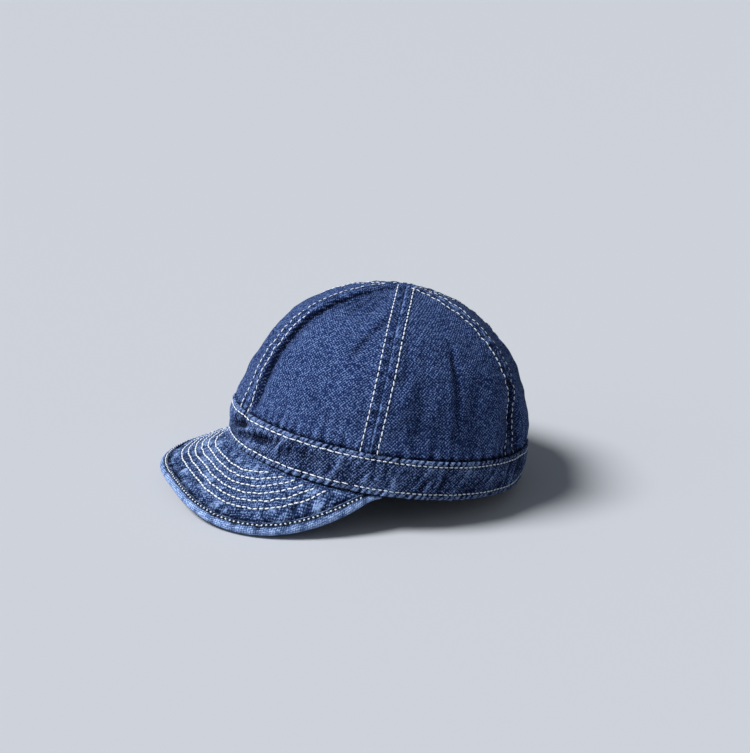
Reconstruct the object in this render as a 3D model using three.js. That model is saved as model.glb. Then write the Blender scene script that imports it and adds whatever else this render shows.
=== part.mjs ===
// Denim cap: six crown panels on a wide band, and a short arched brim with a bound edge.
// Sizes are millimetres. Every point is first worked out in the cap's own frame, with x to the
// wearer's left, -y to the front and z up from the lower edge of the band. settle() then sets
// the cap down on the table, tipped back on both corners of its brim and the rear of its band.
import * as THREE from 'three';

// Cloth
const GAP = 0.3;
const PANEL_WALL = 1.2;

// Raised strips beside the crown's seams, which end towards the top and in narrow stretches
const SEAM = { relief: 0.6, halfWidth: 5, share: 0.36, fadeFrom: 6, fadeTo: 7 };
const SEAM_SLOPE = { share: 0.08, most: 0.5 };
const BESIDE_SEAM = [{ distance: 4.6, share: 0.42 }, { distance: 9.2, share: 0.46 }];

// Band
const HEAD_GIRTH = 580;
const BAND_OVAL = 1.12;
const BAND_HEIGHT = 24;
const BAND_WALL = 2.6;
const BAND_EDGE = 0.7;
const BAND_FLARE = 0.077;
const BAND_SIDE_SAG = 1.5;
const BAND_FRONT_LIFT = 0.6;
const BAND_STATIONS = 82;

// Crown: where each row of its outline lies, from the hem hidden in the band up to the top
const CROWN_ROWS = [
  { name: 'hem', height: 14, front: 94.9, side: 84.5, back: 94.9 },
  { name: 'band top', height: 24, front: 95.6, side: 85.2, back: 95.0 },
  { name: 'lower wall', height: 36, front: 93.4, side: 84.4, back: 96.2 },
  { name: 'wall', height: 53, front: 89.0, side: 82.2, back: 90.5 },
  { name: 'shoulder', height: 72.5, front: 79.0, side: 74.2, back: 81.2 },
  { name: 'upper shoulder', height: 90.5, front: 62.2, side: 58.4, back: 62.2 },
  { name: 'dome', height: 104, front: 34.0, side: 32.5, back: 35.5 },
  { name: 'top', height: 110.2, front: 0, side: 0, back: 0 },
];
const PANELS = [
  { name: 'crown_front_left', from: 0, to: 60, color: 0x2f4470 },
  { name: 'crown_side_left', from: 60, to: 124, color: 0x24365e },
  { name: 'crown_back_left', from: 124, to: 180, color: 0x22335a },
  { name: 'crown_back_right', from: 180, to: 236, color: 0x22335a },
  { name: 'crown_side_right', from: 236, to: 300, color: 0x24365e },
  { name: 'crown_front_right', from: 300, to: 360, color: 0x2f4470 },
];
const PANEL_FLATNESS = { depth: 1.4, low: 1.2, full: 2.4, fade: 5.2, high: 6.8 };
const PANEL_ROWS = 18;
const TOP_HOLE = 0.03;

// Folds of the crown, each a valley at a distance in millimetres behind a seam or an angle.
// low and high are rows of the crown's outline, counted from the hem.
const FOLD_FADE = { low: 0.6, high: 0.8 };
const FOLDS = [
  { name: 'pinch behind front seam', angle: 0, beside: 9.5, low: 0.9, high: 6.3, width: 4.2, depth: 2.2 },
  { name: 'front fan, first', angle: 20, beside: 0, low: 5.0, high: 6.7, width: 3.2, depth: 0.8 },
  { name: 'front fan, second', angle: 38, beside: 0, low: 5.2, high: 6.7, width: 3.0, depth: 0.7 },
  { name: 'side fold by side seam', angle: 60, beside: 23, low: 1.1, high: 4.2, width: 6.0, depth: 1.2 },
  { name: 'side fold, middle', angle: 60, beside: 39, low: 1.1, high: 3.8, width: 5.5, depth: 0.9 },
  { name: 'side fold, rear', angle: 60, beside: 57, low: 1.1, high: 4.4, width: 6.0, depth: 1.1 },
  { name: 'dip before back seam', angle: 124, beside: -11, low: 0.9, high: 3.4, width: 5.0, depth: 1.3 },
  { name: 'rear fold, left', angle: 150, beside: 0, low: 1.1, high: 3.6, width: 7.0, depth: 1.2 },
  { name: 'rear fold, right', angle: 207, beside: 0, low: 1.1, high: 3.9, width: 7.0, depth: 1.1 },
  { name: 'right side fold, rear', angle: 255, beside: 0, low: 1.1, high: 4.0, width: 6.5, depth: 1.2 },
  { name: 'right side fold, front', angle: 278, beside: 0, low: 1.1, high: 3.6, width: 6.0, depth: 1.0 },
  { name: 'right front dip', angle: 348, beside: 0, low: 1.0, high: 4.6, width: 6.0, depth: 1.0 },
];

// Dent that the band and the crown's hem share, low on the left of the front
const DENT = { angle: 13, halfAngle: 8, height: 13, halfHeight: 6, depth: 1.5 };

// Brim: outline in plan, and how far it drops for each millimetre outwards
const BRIM_HALF_WIDTH = 81.5;
const BRIM_SWAY = -1.0;
const BRIM_REACH = 102;
const BRIM_MIDDLE_Y = -35.7;
const BRIM_SQUARENESS = 2.5;
const BRIM_DROP = { front: 0.68, side: 0.6, end: 0.24, twist: 0.26 };
const BRIM_CURL = 0.0015;
const BRIM_BEND = 2.6;
const BRIM_BULGE = { angle: -26, halfAngle: 22, height: 2.4, reach: 45 };
const BRIM_PLY = 1.0;
const BRIM_ROOT = -2.4;
const BRIM_EDGE = 2.4;
const BRIM_TIP = 3;
const BRIM_STATIONS = 42;
const BRIM_CROWDING = 0.65;
const BRIM_STEPS = [0, 0.06, 0.14, 0.34, 0.56, 0.78, 1];
const BRIM_END_DIP = { from: 46, to: 67, depth: 1.0 };
const BRIM_END_THINNING = { from: 46, to: 67, left: 0.6 };

// Where the brim's outline and its ends are looked for, and how often the search is halved
const REACH_SEARCH = { near: -6, far: 60 };
const END_SEARCH = { from: 45, to: 85 };
const HALVINGS = 30;
const SLOPE_STEP = 0.01;

// Binding of the brim
const BINDING_WIDTH = 5.4;
const BINDING_WALL = 1.0;
const BINDING_EASE = 0.35;
const BINDING_TAIL = 0;

// How the cap sits on the table
const REST_TILT = 8.0;
const REST_LEAN = 3.8;
const REST_LIFT = 13.8;
const REST_MIDDLE = { x: -1.43, y: -18.83 };

const radians = THREE.MathUtils.degToRad;
const mix = THREE.MathUtils.lerp;
const ramp = (value, low, high) => THREE.MathUtils.smoothstep(value, low, high);
const bell = (distance, width) => Math.exp(-((distance / width) ** 2));

// Turns a point of the cap's own frame into its place on the table and flattens what rests.
function settle(point) {
  const p = point.clone();
  p.applyAxisAngle(new THREE.Vector3(1, 0, 0), -radians(REST_TILT));
  p.applyAxisAngle(new THREE.Vector3(0, 1, 0), -radians(REST_LEAN));
  p.add(new THREE.Vector3(-REST_MIDDLE.x, -REST_MIDDLE.y, REST_LIFT));
  p.z = Math.max(p.z, 0);
  return p;
}

// Half-width and half-length of the band's outer face at its lower edge.
const BAND_SIDE = HEAD_GIRTH / Math.PI / (1 + BAND_OVAL);
const BAND_LENGTH = BAND_SIDE * BAND_OVAL;

// Rise and fall of the band's edges round the head.
function bandWave(theta) {
  const sag = BAND_SIDE_SAG * (Math.cos(2 * theta) - 1) / 2;
  return sag + BAND_FRONT_LIFT * Math.max(Math.cos(theta), 0) ** 3;
}

// How far the dent pushes the cloth in at an angle and a height.
function dentAt(theta, height) {
  const away = Math.atan2(Math.sin(theta - radians(DENT.angle)), Math.cos(theta - radians(DENT.angle)));
  return DENT.depth * bell(away, radians(DENT.halfAngle)) * bell(height - DENT.height, DENT.halfHeight);
}

// Point of the band at an angle and a height, a distance in from its outer face.
function bandPoint(theta, height, inset) {
  const out = BAND_FLARE * height - inset - dentAt(theta, height);
  const x = (BAND_SIDE + out) * Math.sin(theta);
  const y = -(BAND_LENGTH + out) * Math.cos(theta);
  return new THREE.Vector3(x, y, height + bandWave(theta));
}

// Smooth curve through the rows of one column of a table, at a fractional row.
function alongRows(values, row) {
  const last = values.length - 1;
  const i = Math.min(Math.floor(row), last - 1);
  const before = i > 0 ? values[i - 1] : 2 * values[0] - values[1];
  const mirrored = values[last] === 0 ? -values[last - 1] : values[last - 1];
  const after = i + 2 <= last ? values[i + 2] : mirrored;
  const t = row - i;
  const slopeIn = (values[i + 1] - before) / 2;
  const slopeOut = (after - values[i]) / 2;
  const blend = t * t * (3 - 2 * t);
  return mix(values[i], values[i + 1], blend)
    + slopeIn * t * (1 - t) ** 2 - slopeOut * t * t * (1 - t);
}

// Point of the crown's plain outer surface, before its folds and seams.
function crownBase(theta, row) {
  const column = (key) => alongRows(CROWN_ROWS.map((entry) => entry[key]), row);
  const along = Math.cos(theta) > 0 ? column('front') : column('back');
  const x = column('side') * Math.sin(theta);
  const y = -along * Math.cos(theta);
  const wave = bandWave(theta) * (1 - row / (CROWN_ROWS.length - 1)) ** 2;
  return new THREE.Vector3(x, y, column('height') + wave);
}

// Outward direction of the crown's plain surface.
function crownNormal(theta, row) {
  const step = 0.02;
  const across = crownBase(theta + step, row).sub(crownBase(theta - step, row));
  const top = CROWN_ROWS.length - 1 - TOP_HOLE;
  const up = crownBase(theta, Math.min(row + step, top)).sub(crownBase(theta, Math.max(row - step, 0)));
  return across.cross(up).normalize();
}

// Depth of all folds at an angle and a row of the crown.
function foldDepth(theta, row, radius) {
  let depth = 0;
  for (const fold of FOLDS) {
    const turn = theta - radians(fold.angle);
    const away = Math.atan2(Math.sin(turn), Math.cos(turn)) * radius - fold.beside;
    const begun = ramp(row, fold.low, fold.low + FOLD_FADE.low);
    const ended = ramp(row, fold.high - FOLD_FADE.high, fold.high);
    depth += fold.depth * begun * (1 - ended) * bell(away, fold.width);
  }
  return depth;
}

// Builds one closed body from an outer and an inner grid of points of the same layout.
function shell(outer, inner, ring = false) {
  const rows = outer.length;
  const columns = outer[0].length;
  const points = [...outer.flat(), ...inner.flat()].map(settle);
  const at = (side, row, column) => side * rows * columns + (row % rows) * columns + column;
  const faces = [];
  const quad = (a, b, c, d) => faces.push(a, b, c, a, c, d);
  const strips = ring ? rows : rows - 1;
  for (let row = 0; row < strips; row += 1) {
    for (let column = 0; column < columns - 1; column += 1) {
      const ends = [[row, column], [row, column + 1], [row + 1, column + 1], [row + 1, column]];
      quad(...ends.map(([i, j]) => at(0, i, j)));
      quad(...ends.reverse().map(([i, j]) => at(1, i, j)));
    }
    quad(at(0, row, 0), at(0, row + 1, 0), at(1, row + 1, 0), at(1, row, 0));
    const edge = columns - 1;
    quad(at(0, row, edge), at(1, row, edge), at(1, row + 1, edge), at(0, row + 1, edge));
  }
  for (let column = 0; !ring && column < columns - 1; column += 1) {
    quad(at(0, 0, column), at(1, 0, column), at(1, 0, column + 1), at(0, 0, column + 1));
    const end = rows - 1;
    quad(at(0, end, column), at(0, end, column + 1), at(1, end, column + 1), at(1, end, column));
  }
  return facingOut(points, faces);
}

// Makes the geometry, with every face turned outwards.
function facingOut(points, faces) {
  let volume = 0;
  for (let i = 0; i < faces.length; i += 3) {
    const [a, b, c] = faces.slice(i, i + 3).map((index) => points[index]);
    volume += a.dot(b.clone().cross(c));
  }
  const geometry = new THREE.BufferGeometry();
  geometry.setFromPoints(points);
  geometry.setIndex(volume > 0 ? faces : faces.reverse());
  geometry.computeVertexNormals();
  return geometry;
}

function cloth(name, color, geometry) {
  const finish = new THREE.MeshStandardMaterial({ color, roughness: 0.9, metalness: 0 });
  const mesh = new THREE.Mesh(geometry, finish);
  mesh.name = name;
  return mesh;
}

// Width of the raised strip beside a seam, where the panel has a given width.
function stripWidth(width) {
  return Math.min(SEAM.halfWidth, SEAM.share * width);
}

// Places across a panel, as distances from its first seam: raised strips beside both seams,
// two closer steps behind each of them, and even steps over the middle.
function panelColumns(width) {
  const strip = stripWidth(width);
  const slope = Math.min(SEAM_SLOPE.most, SEAM_SLOPE.share * strip);
  const beside = BESIDE_SEAM.map(({ distance, share }) => Math.min(strip + distance, share * width));
  const edge = [GAP / 2, strip - slope, strip + slope, ...beside];
  const behind = edge[edge.length - 1];
  const middle = [0.25, 0.5, 0.75].map((part) => mix(behind, width - behind, part));
  return [...edge, ...middle, ...edge.map((distance) => width - distance).reverse()];
}

function crownPanel({ name, from, to, color }) {
  const outer = [];
  const inner = [];
  const span = radians(to - from);
  const top = CROWN_ROWS.length - 1 - TOP_HOLE;
  for (let i = 0; i <= PANEL_ROWS; i += 1) {
    const row = top * i / PANEL_ROWS;
    const middle = crownBase(radians((from + to) / 2), row);
    const radius = Math.hypot(middle.x, middle.y);
    const width = span * radius;
    const strip = stripWidth(width);
    const flatness = PANEL_FLATNESS.depth * ramp(row, PANEL_FLATNESS.low, PANEL_FLATNESS.full)
      * (1 - ramp(row, PANEL_FLATNESS.fade, PANEL_FLATNESS.high));
    const raised = SEAM.relief * (1 - ramp(row, SEAM.fadeFrom, SEAM.fadeTo));
    const lines = panelColumns(width).map((distance) => {
      const theta = radians(from) + distance / radius;
      const point = crownBase(theta, row);
      const normal = crownNormal(theta, row);
      const height = alongRows(CROWN_ROWS.map((entry) => entry.height), row);
      const flat = flatness * Math.sin(Math.PI * distance / width) ** 2;
      const sunk = flat + foldDepth(theta, row, radius) + dentAt(theta, height);
      const relief = Math.min(distance, width - distance) < strip ? raised : 0;
      const lifts = [relief - sunk, -PANEL_WALL - sunk];
      return lifts.map((lift) => point.clone().addScaledVector(normal, lift));
    });
    outer.push(lines.map((line) => line[0]));
    inner.push(lines.map((line) => line[1]));
  }
  return cloth(name, color, shell(outer, inner));
}

function band() {
  const profile = [
    { height: 0, inset: BAND_EDGE },
    { height: BAND_EDGE, inset: 0 },
    { height: BAND_HEIGHT / 3, inset: 0 },
    { height: BAND_HEIGHT * 2 / 3, inset: 0 },
    { height: BAND_HEIGHT - BAND_EDGE, inset: 0 },
    { height: BAND_HEIGHT, inset: BAND_EDGE },
  ];
  const angles = Array.from({ length: BAND_STATIONS }, (_, i) => 2 * Math.PI * i / BAND_STATIONS);
  const outer = angles.map((theta) => profile.map((p) => bandPoint(theta, p.height, p.inset)));
  const inner = angles.map((theta) => profile.map((p) => bandPoint(theta, p.height, BAND_WALL - p.inset)));
  return cloth('band', 0x263a66, shell(outer, inner, true));
}

// Drop of the brim for each millimetre outwards.
function brimSlope(theta) {
  const across = Math.sin(theta);
  const { front, side, end, twist } = BRIM_DROP;
  return front + side * across ** 2 + end * across ** 4 + twist * across;
}

// Plan position at an angle, a distance out from the band's lower edge.
function brimPlan(theta, out) {
  const normal = new THREE.Vector2(Math.sin(theta) / BAND_SIDE, -Math.cos(theta) / BAND_LENGTH).normalize();
  const x = BAND_SIDE * Math.sin(theta) + out * normal.x;
  const y = -BAND_LENGTH * Math.cos(theta) + out * normal.y;
  return new THREE.Vector2(x, y);
}

// Soft rise of the brim's right half between the band and the free edge.
function brimBulge(theta, out) {
  const part = THREE.MathUtils.clamp(out / BRIM_BULGE.reach, 0, 1);
  const across = bell(theta - radians(BRIM_BULGE.angle), radians(BRIM_BULGE.halfAngle));
  return BRIM_BULGE.height * across * Math.sin(Math.PI * part);
}

// Point of the brim's upper face.
function brimFace(theta, out) {
  const plan = brimPlan(theta, out);
  const bent = (out + Math.hypot(out, BRIM_BEND)) / 2;
  const dip = BRIM_END_DIP.depth
    * ramp(Math.abs(theta), radians(BRIM_END_DIP.from), radians(BRIM_END_DIP.to));
  const rise = BRIM_CURL * Math.max(out, 0) ** 2 + brimBulge(theta, out);
  return new THREE.Vector3(plan.x, plan.y, bandWave(theta) - GAP - dip - brimSlope(theta) * bent + rise);
}

// Point at a depth under the brim's upper face, where the brim is pressed thinner at its ends.
function brimPoint(theta, out, depth) {
  const step = SLOPE_STEP;
  const across = brimFace(theta + step, out).sub(brimFace(theta - step, out));
  const outwards = brimFace(theta, out + step).sub(brimFace(theta, out - step));
  const up = outwards.cross(across).normalize();
  const pressed = ramp(Math.abs(theta), radians(BRIM_END_THINNING.from), radians(BRIM_END_THINNING.to));
  return brimFace(theta, out).addScaledVector(up, -depth * mix(1, BRIM_END_THINNING.left, pressed));
}

// How far the brim's outline lies out from the band at an angle.
function brimReach(theta) {
  const outside = (out) => {
    const plan = brimPlan(theta, out);
    const across = Math.abs((plan.x - BRIM_SWAY) / BRIM_HALF_WIDTH) ** BRIM_SQUARENESS;
    const forward = Math.max((BRIM_MIDDLE_Y - plan.y) / BRIM_REACH, 0) ** BRIM_SQUARENESS;
    return across + forward > 1;
  };
  let { near, far } = REACH_SEARCH;
  for (let i = 0; i < HALVINGS; i += 1) {
    const middle = (near + far) / 2;
    if (outside(middle)) far = middle;
    else near = middle;
  }
  return near;
}

// Angle on one side where the brim's outline reaches out from the band by a given distance.
function brimEnd(side, reach) {
  let shown = radians(END_SEARCH.from);
  let hidden = radians(END_SEARCH.to);
  for (let i = 0; i < HALVINGS; i += 1) {
    const middle = (shown + hidden) / 2;
    if (brimReach(side * middle) > reach) shown = middle;
    else hidden = middle;
  }
  return side * shown;
}

// Angles of the stations along the plies, from the right end to the left one, closer at the ends.
function plyAngles() {
  const right = brimEnd(-1, BRIM_TIP);
  const left = brimEnd(1, BRIM_TIP);
  return Array.from({ length: BRIM_STATIONS + 1 }, (_, i) => {
    const part = i / BRIM_STATIONS;
    const turn = 2 * Math.PI;
    return mix(right, left, part - BRIM_CROWDING * Math.sin(turn * part) / turn);
  });
}

// Angles of the stations along the binding: those of the plies and two more in each tail.
function bindingAngles() {
  const tails = [BINDING_TAIL, (BINDING_TAIL + BRIM_TIP) / 2];
  const right = tails.map((reach) => brimEnd(-1, reach));
  const left = tails.map((reach) => brimEnd(1, reach));
  return [...right, ...plyAngles(), ...left.reverse()];
}

// Share of a distance square to the outline that is measured along the band's normal.
function outlineSlant(theta) {
  const edge = (angle) => brimPlan(angle, brimReach(angle));
  const along = edge(theta + SLOPE_STEP).sub(edge(theta - SLOPE_STEP)).normalize();
  const outwards = brimPlan(theta, 1).sub(brimPlan(theta, 0));
  return Math.abs(along.cross(outwards));
}

function brimPly(name, color, depth) {
  const layer = (down) => plyAngles().map((theta) => {
    const outer = brimReach(theta) - BRIM_EDGE / outlineSlant(theta);
    return BRIM_STEPS.map((part) => brimPoint(theta, mix(BRIM_ROOT, outer, part), down));
  });
  return cloth(name, color, shell(layer(depth), layer(depth + BRIM_PLY)));
}

function brimBinding() {
  const halfStack = BRIM_PLY + GAP / 2;
  const innerRadius = halfStack + BINDING_EASE;
  const outerRadius = innerRadius + BINDING_WALL;
  const round = (radius) => {
    const nose = [90, 45, 0, -45, -90].map((angle) => ({
      inset: outerRadius - radius * Math.cos(radians(angle)),
      depth: halfStack - radius * Math.sin(radians(angle)),
    }));
    const flat = [BINDING_WIDTH, (BINDING_WIDTH + outerRadius) / 2];
    const top = flat.map((inset) => ({ inset, depth: halfStack - radius }));
    const bottom = flat.map((inset) => ({ inset, depth: halfStack + radius }));
    return [...top, ...nose, ...bottom.reverse()];
  };
  const sweep = (radius) => bindingAngles().map((theta) => {
    const slant = outlineSlant(theta);
    const reach = brimReach(theta);
    return round(radius).map(({ inset, depth }) => brimPoint(theta, reach - inset / slant, depth));
  });
  return cloth('brim_binding', 0x6d8fc2, shell(sweep(outerRadius), sweep(innerRadius)));
}

const group = new THREE.Group();
for (const panel of PANELS) {
  group.add(crownPanel(panel));
}
group.add(band());
group.add(brimPly('brim_top', 0x3a5486, 0));
group.add(brimPly('brim_underside', 0x334b7a, BRIM_PLY + GAP));
group.add(brimBinding());

export default group;
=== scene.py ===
"""Dresses a denim cap set down on a table: six seamed panels, a wide band, a short stitched brim.

Every shape is worked out in millimetres in the cap's own frame, with x to the wearer's left, -y to the
front and z up from the lower edge of the band. Resting then carries it to the table, in metres.
"""
import logging
from collections.abc import Callable
from dataclasses import dataclass, field
from enum import Enum

import bmesh
import bpy
import numpy as np
from mathutils import Matrix, Vector


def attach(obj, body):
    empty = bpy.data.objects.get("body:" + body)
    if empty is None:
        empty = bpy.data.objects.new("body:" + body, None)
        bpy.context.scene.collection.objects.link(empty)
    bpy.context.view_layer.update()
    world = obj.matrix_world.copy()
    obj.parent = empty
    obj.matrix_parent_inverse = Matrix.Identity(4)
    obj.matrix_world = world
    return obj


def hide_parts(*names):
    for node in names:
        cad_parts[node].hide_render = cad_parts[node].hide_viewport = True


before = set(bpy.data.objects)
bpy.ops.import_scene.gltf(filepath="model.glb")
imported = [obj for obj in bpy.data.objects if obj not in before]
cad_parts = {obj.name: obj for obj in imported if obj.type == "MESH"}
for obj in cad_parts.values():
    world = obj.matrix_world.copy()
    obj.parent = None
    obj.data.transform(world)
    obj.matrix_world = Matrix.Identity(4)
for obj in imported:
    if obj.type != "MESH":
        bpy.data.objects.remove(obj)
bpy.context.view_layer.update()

Array = np.ndarray
Colour = tuple[float, float, float]
# A low and a high end
Span = tuple[float, float]
# One number for each of two things
Pair = tuple[float, float]
Material = bpy.types.Material
Piece = bpy.types.Object
Socket = bpy.types.NodeSocket

MM = 0.001
TURN = 2.0 * np.pi
BODY = "root"
# Columns of points on the right side of a wall for each column on its reverse
INNER_THINNING = 4
# Points of a piece that lie closer than this become one, in metres
MERGE_DISTANCE = 1e-7
# Distances that differ by less than this are the same, in millimetres
SAME_PLACE = 1e-9
HALVINGS = 32
log = logging.getLogger("denim_cap")


def ramp(value: Array, low: float, high: float) -> Array:
    """Rises smoothly from 0 at low to 1 at high: 3t squared less 2t cubed."""
    t = np.clip((value - low) / (high - low), 0.0, 1.0)
    return t * t * (3.0 - 2.0 * t)


def bell(distance: Array, width: float) -> Array:
    """Bell curve: e to the minus (distance over width) squared."""
    return np.exp(-((distance / width) ** 2))


def turn_between(theta: Array, centre: float) -> Array:
    """Signed angle from centre to theta, between minus and plus half a turn."""
    return np.arctan2(np.sin(theta - centre), np.cos(theta - centre))


def limited(value: Array, most: float) -> Array:
    """Keeps a height softly between minus and plus the most: most times tanh(value over most)."""
    return most * np.tanh(value / most)


def crowded(count: int, crowding: float) -> Array:
    """Places from 0 to 1 that lie closer at both ends: t less crowding times sin(2 pi t) over 2 pi."""
    t = np.linspace(0.0, 1.0, count)
    return t - crowding * np.sin(TURN * t) / TURN


def halving(span: Span, shape: tuple[int, ...], beyond: Callable[[Array], Array]) -> Array:
    """Places in a span where a test starts to hold, found by halving it again and again.

    Args:
        span: lowest and highest place.
        shape: shape of the answer.
        beyond: the test, which holds past the places that are looked for.

    Returns:
        The middle of the last stretch at each place.
    """
    low, high = (np.full(shape, end) for end in span)
    for _ in range(HALVINGS):
        middle = (low + high) / 2.0
        past = beyond(middle)
        low, high = np.where(past, low, middle), np.where(past, middle, high)
    return (low + high) / 2.0


@dataclass(frozen=True)
class Line:
    """A soft line along the cloth, such as a groove or a worn edge: an amount times a bell across it.

    Args:
        place: distance or height at which it lies, in millimetres.
        width: its width, in millimetres.
        amount: how strong or deep it is in its middle.
    """

    place: float
    width: float
    amount: float = 1.0

    def at(self, distance: Array) -> Array:
        """Strength or depth of the line at a distance."""
        return self.amount * bell(distance - self.place, self.width)


@dataclass(frozen=True)
class Finishes:
    """Materials of one sub-assembly: the right side of its cloth, the reverse, and the thread."""

    right: Material
    reverse: Material
    thread: Material


@dataclass(frozen=True)
class Ripples:
    """Seeded unevenness of cloth: a sum of plane waves of mixed direction, length and phase.

    Args:
        shortest: shortest wave, in millimetres.
        longest: longest wave, in millimetres.
        seed: seed of the draw.
        stretch: how much longer the waves are along each coordinate.
        waves: number of waves.
    """

    shortest: float
    longest: float
    seed: int
    stretch: tuple[float, ...] = (1.0, 1.0, 1.0)
    waves: int = 20

    def at(self, *places: Array) -> Array:
        """Height of the ripples, about 1 at a crest.

        Args:
            places: one array for each coordinate, in millimetres.

        Returns:
            The sum of the cosines at each place, with a mean square of 1.
        """
        draw = np.random.default_rng(self.seed)
        total = np.zeros(np.broadcast(*places).shape)
        for _ in range(self.waves):
            direction = draw.normal(size=len(places))
            direction /= np.linalg.norm(direction)
            length = np.exp(draw.uniform(np.log(self.shortest), np.log(self.longest)))
            phase = draw.uniform(0.0, TURN)
            for place, share, stretch in zip(places, direction, self.stretch):
                phase = phase + TURN * share * place / (stretch * length)
            total += np.cos(phase)
        return total * np.sqrt(2.0 / self.waves)


@dataclass(frozen=True)
class RoundRipples:
    """Seeded unevenness round the head that meets itself: whole numbers of waves to the turn.

    Args:
        fewest: fewest waves to the turn.
        most: most waves to the turn.
        seed: seed of the draw.
        slant: how far a wave leans along the head for each millimetre of height, in millimetres.
        spread: how much the lean differs from wave to wave.
        waves: number of waves.
    """

    fewest: int
    most: int
    seed: int
    slant: float = 0.0
    spread: float = 0.25
    waves: int = 24

    def at(self, theta: Array, height: Array) -> Array:
        """Height of the ripples at an angle and a height, with a mean square of 1."""
        draw = np.random.default_rng(self.seed)
        total = np.zeros(np.broadcast(theta, height).shape)
        for _ in range(self.waves):
            number = int(draw.integers(self.fewest, self.most + 1))
            lean = draw.normal(self.slant, self.spread) * number / BAND_FORM.side
            total += np.cos(number * theta - lean * height + draw.uniform(0.0, TURN))
        return total * np.sqrt(2.0 / self.waves)


@dataclass(frozen=True)
class Resting:
    """How the cap is set down: tipped back, leaning, and flattened where it touches the table.

    Args:
        tilt: how far it is tipped back, in degrees.
        lean: how far the wearer's left side is raised, in degrees.
        shift: place of the cap's origin on the table, in millimetres.
    """

    tilt: float = 8.0
    lean: float = 3.8
    shift: tuple[float, float, float] = (1.43, 18.83, 13.8)

    def turn(self) -> Array:
        """Rotation that tips the cap back about x and then leans it about y."""
        tilt, lean = np.radians((self.tilt, self.lean))
        back = np.array([[1, 0, 0], [0, np.cos(tilt), np.sin(tilt)], [0, -np.sin(tilt), np.cos(tilt)]])
        side = np.array([[np.cos(lean), 0, -np.sin(lean)], [0, 1, 0], [np.sin(lean), 0, np.cos(lean)]])
        return side @ back

    def carry(self, points: Array) -> Array:
        """Turns and moves points from the cap's own frame to the table, in metres."""
        return (points @ self.turn().T + np.array(self.shift)) * MM

    def place(self, points: Array) -> Array:
        """Carries points to the table and flattens what would lie under it."""
        placed = self.carry(points)
        placed[..., 2] = np.maximum(placed[..., 2], 0.0)
        return placed


RESTING = Resting()


@dataclass
class ClothWall:
    """A closed wall of cloth, carried as one section from row to row.

    Args:
        outer: rows by columns by 3 points of the right side, with 4 k + 1 columns.
        inner: rows by k + 1 by 3 points of the reverse.
        weave: rows by columns by 2 places on the cut cloth, along its weft and warp.
        rubbed: how worn and pale the cloth is at each outer point, kept between 0 and 1.
        shaded: painted shade at each outer point, how dark it is drawn in creases, grooves, dents and
            shadows, with the brim's dark mottle, kept between 0 and 1.
        ring: whether the last row joins the first.
    """

    outer: Array
    inner: Array
    weave: Array
    rubbed: Array
    shaded: Array
    ring: bool = False

    @staticmethod
    def around(outer_values: Array, inner_values: Array) -> Array:
        """Puts outer and inner values in one list per row, in the order of the section's outline."""
        return np.concatenate([outer_values, inner_values[:, ::-1]], axis=1)

    def faces(self) -> tuple[list, Array]:
        """Faces that join each row's outline to the next one's, and caps at both ends.

        Returns:
            The faces as lists of vertex numbers, and for each one whether it shows the reverse.
        """
        rows, columns = self.outer.shape[:2]
        inner_columns = self.inner.shape[1]
        total = columns + inner_columns
        strips = rows if self.ring else rows - 1
        row = np.arange(strips)[:, None]
        column = np.arange(total)[None, :]
        after = (row + 1) % rows
        beside = (column + 1) % total
        row, after = row * total, after * total
        quads = np.stack([row + column, row + beside, after + beside, after + column], axis=-1)
        reverse = np.broadcast_to((column >= columns) & (column < total - 1), (strips, total))
        faces = quads.reshape(-1, 4).tolist()
        sides = reverse.reshape(-1).astype(int)
        if not self.ring:
            caps = self.cap(columns, total)
            faces += caps.tolist() + (caps[:, ::-1] + (rows - 1) * total).tolist()
            sides = np.concatenate([sides, np.zeros(2 * len(caps), int)])
        return faces, sides

    @staticmethod
    def cap(columns: int, total: int) -> Array:
        """Triangles across the first row: each outer step to the nearest inner point, and the reverse."""
        step = np.arange(columns - 1)
        half = INNER_THINNING // 2
        inner_point = total - 1 - (step + half) // INNER_THINNING
        outer_fans = np.stack([step + 1, step, inner_point], axis=-1)
        span = np.arange((columns - 1) // INNER_THINNING)
        inner_fans = np.stack([total - 1 - span, total - 2 - span, INNER_THINNING * span + half], axis=-1)
        return np.concatenate([outer_fans, inner_fans])

    def make(self, name: str, finishes: Finishes) -> Piece:
        """Makes the piece, with its cloth coordinates, its wear and its painted shade stored on the mesh.

        Args:
            name: the piece's name.
            finishes: materials for the right side with the edges, and for the reverse.

        Returns:
            The new object.
        """
        points = RESTING.place(self.around(self.outer, self.inner)).reshape(-1, 3)
        faces, sides = self.faces()
        if signed_volume(points, faces) < 0:
            faces = [face[::-1] for face in faces]
        thin = np.s_[:, ::INNER_THINNING]
        values = {
            key: np.clip(self.around(value, value[thin]), 0.0, 1.0).reshape(-1)
            for key, value in (("rubbed", self.rubbed), ("shaded", self.shaded))
        }
        weave = self.around(self.weave, self.weave[thin]).reshape(-1, 2)
        piece = mesh_piece(name, points, faces, weave, values)
        piece.data.materials.append(finishes.right)
        piece.data.materials.append(finishes.reverse)
        piece.data.polygons.foreach_set("material_index", sides)
        merge_poles(piece.data)
        return piece


def signed_volume(points: Array, faces: list) -> float:
    """Six times the volume that the faces enclose, from the two triangles of each face."""
    first = points[np.array([face[:3] for face in faces])]
    second = points[np.array([[face[0], face[2], face[-1]] for face in faces])]
    both = np.concatenate([first, second])
    return float(np.einsum("ij,ij->", both[:, 0], np.cross(both[:, 1], both[:, 2])))


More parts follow.
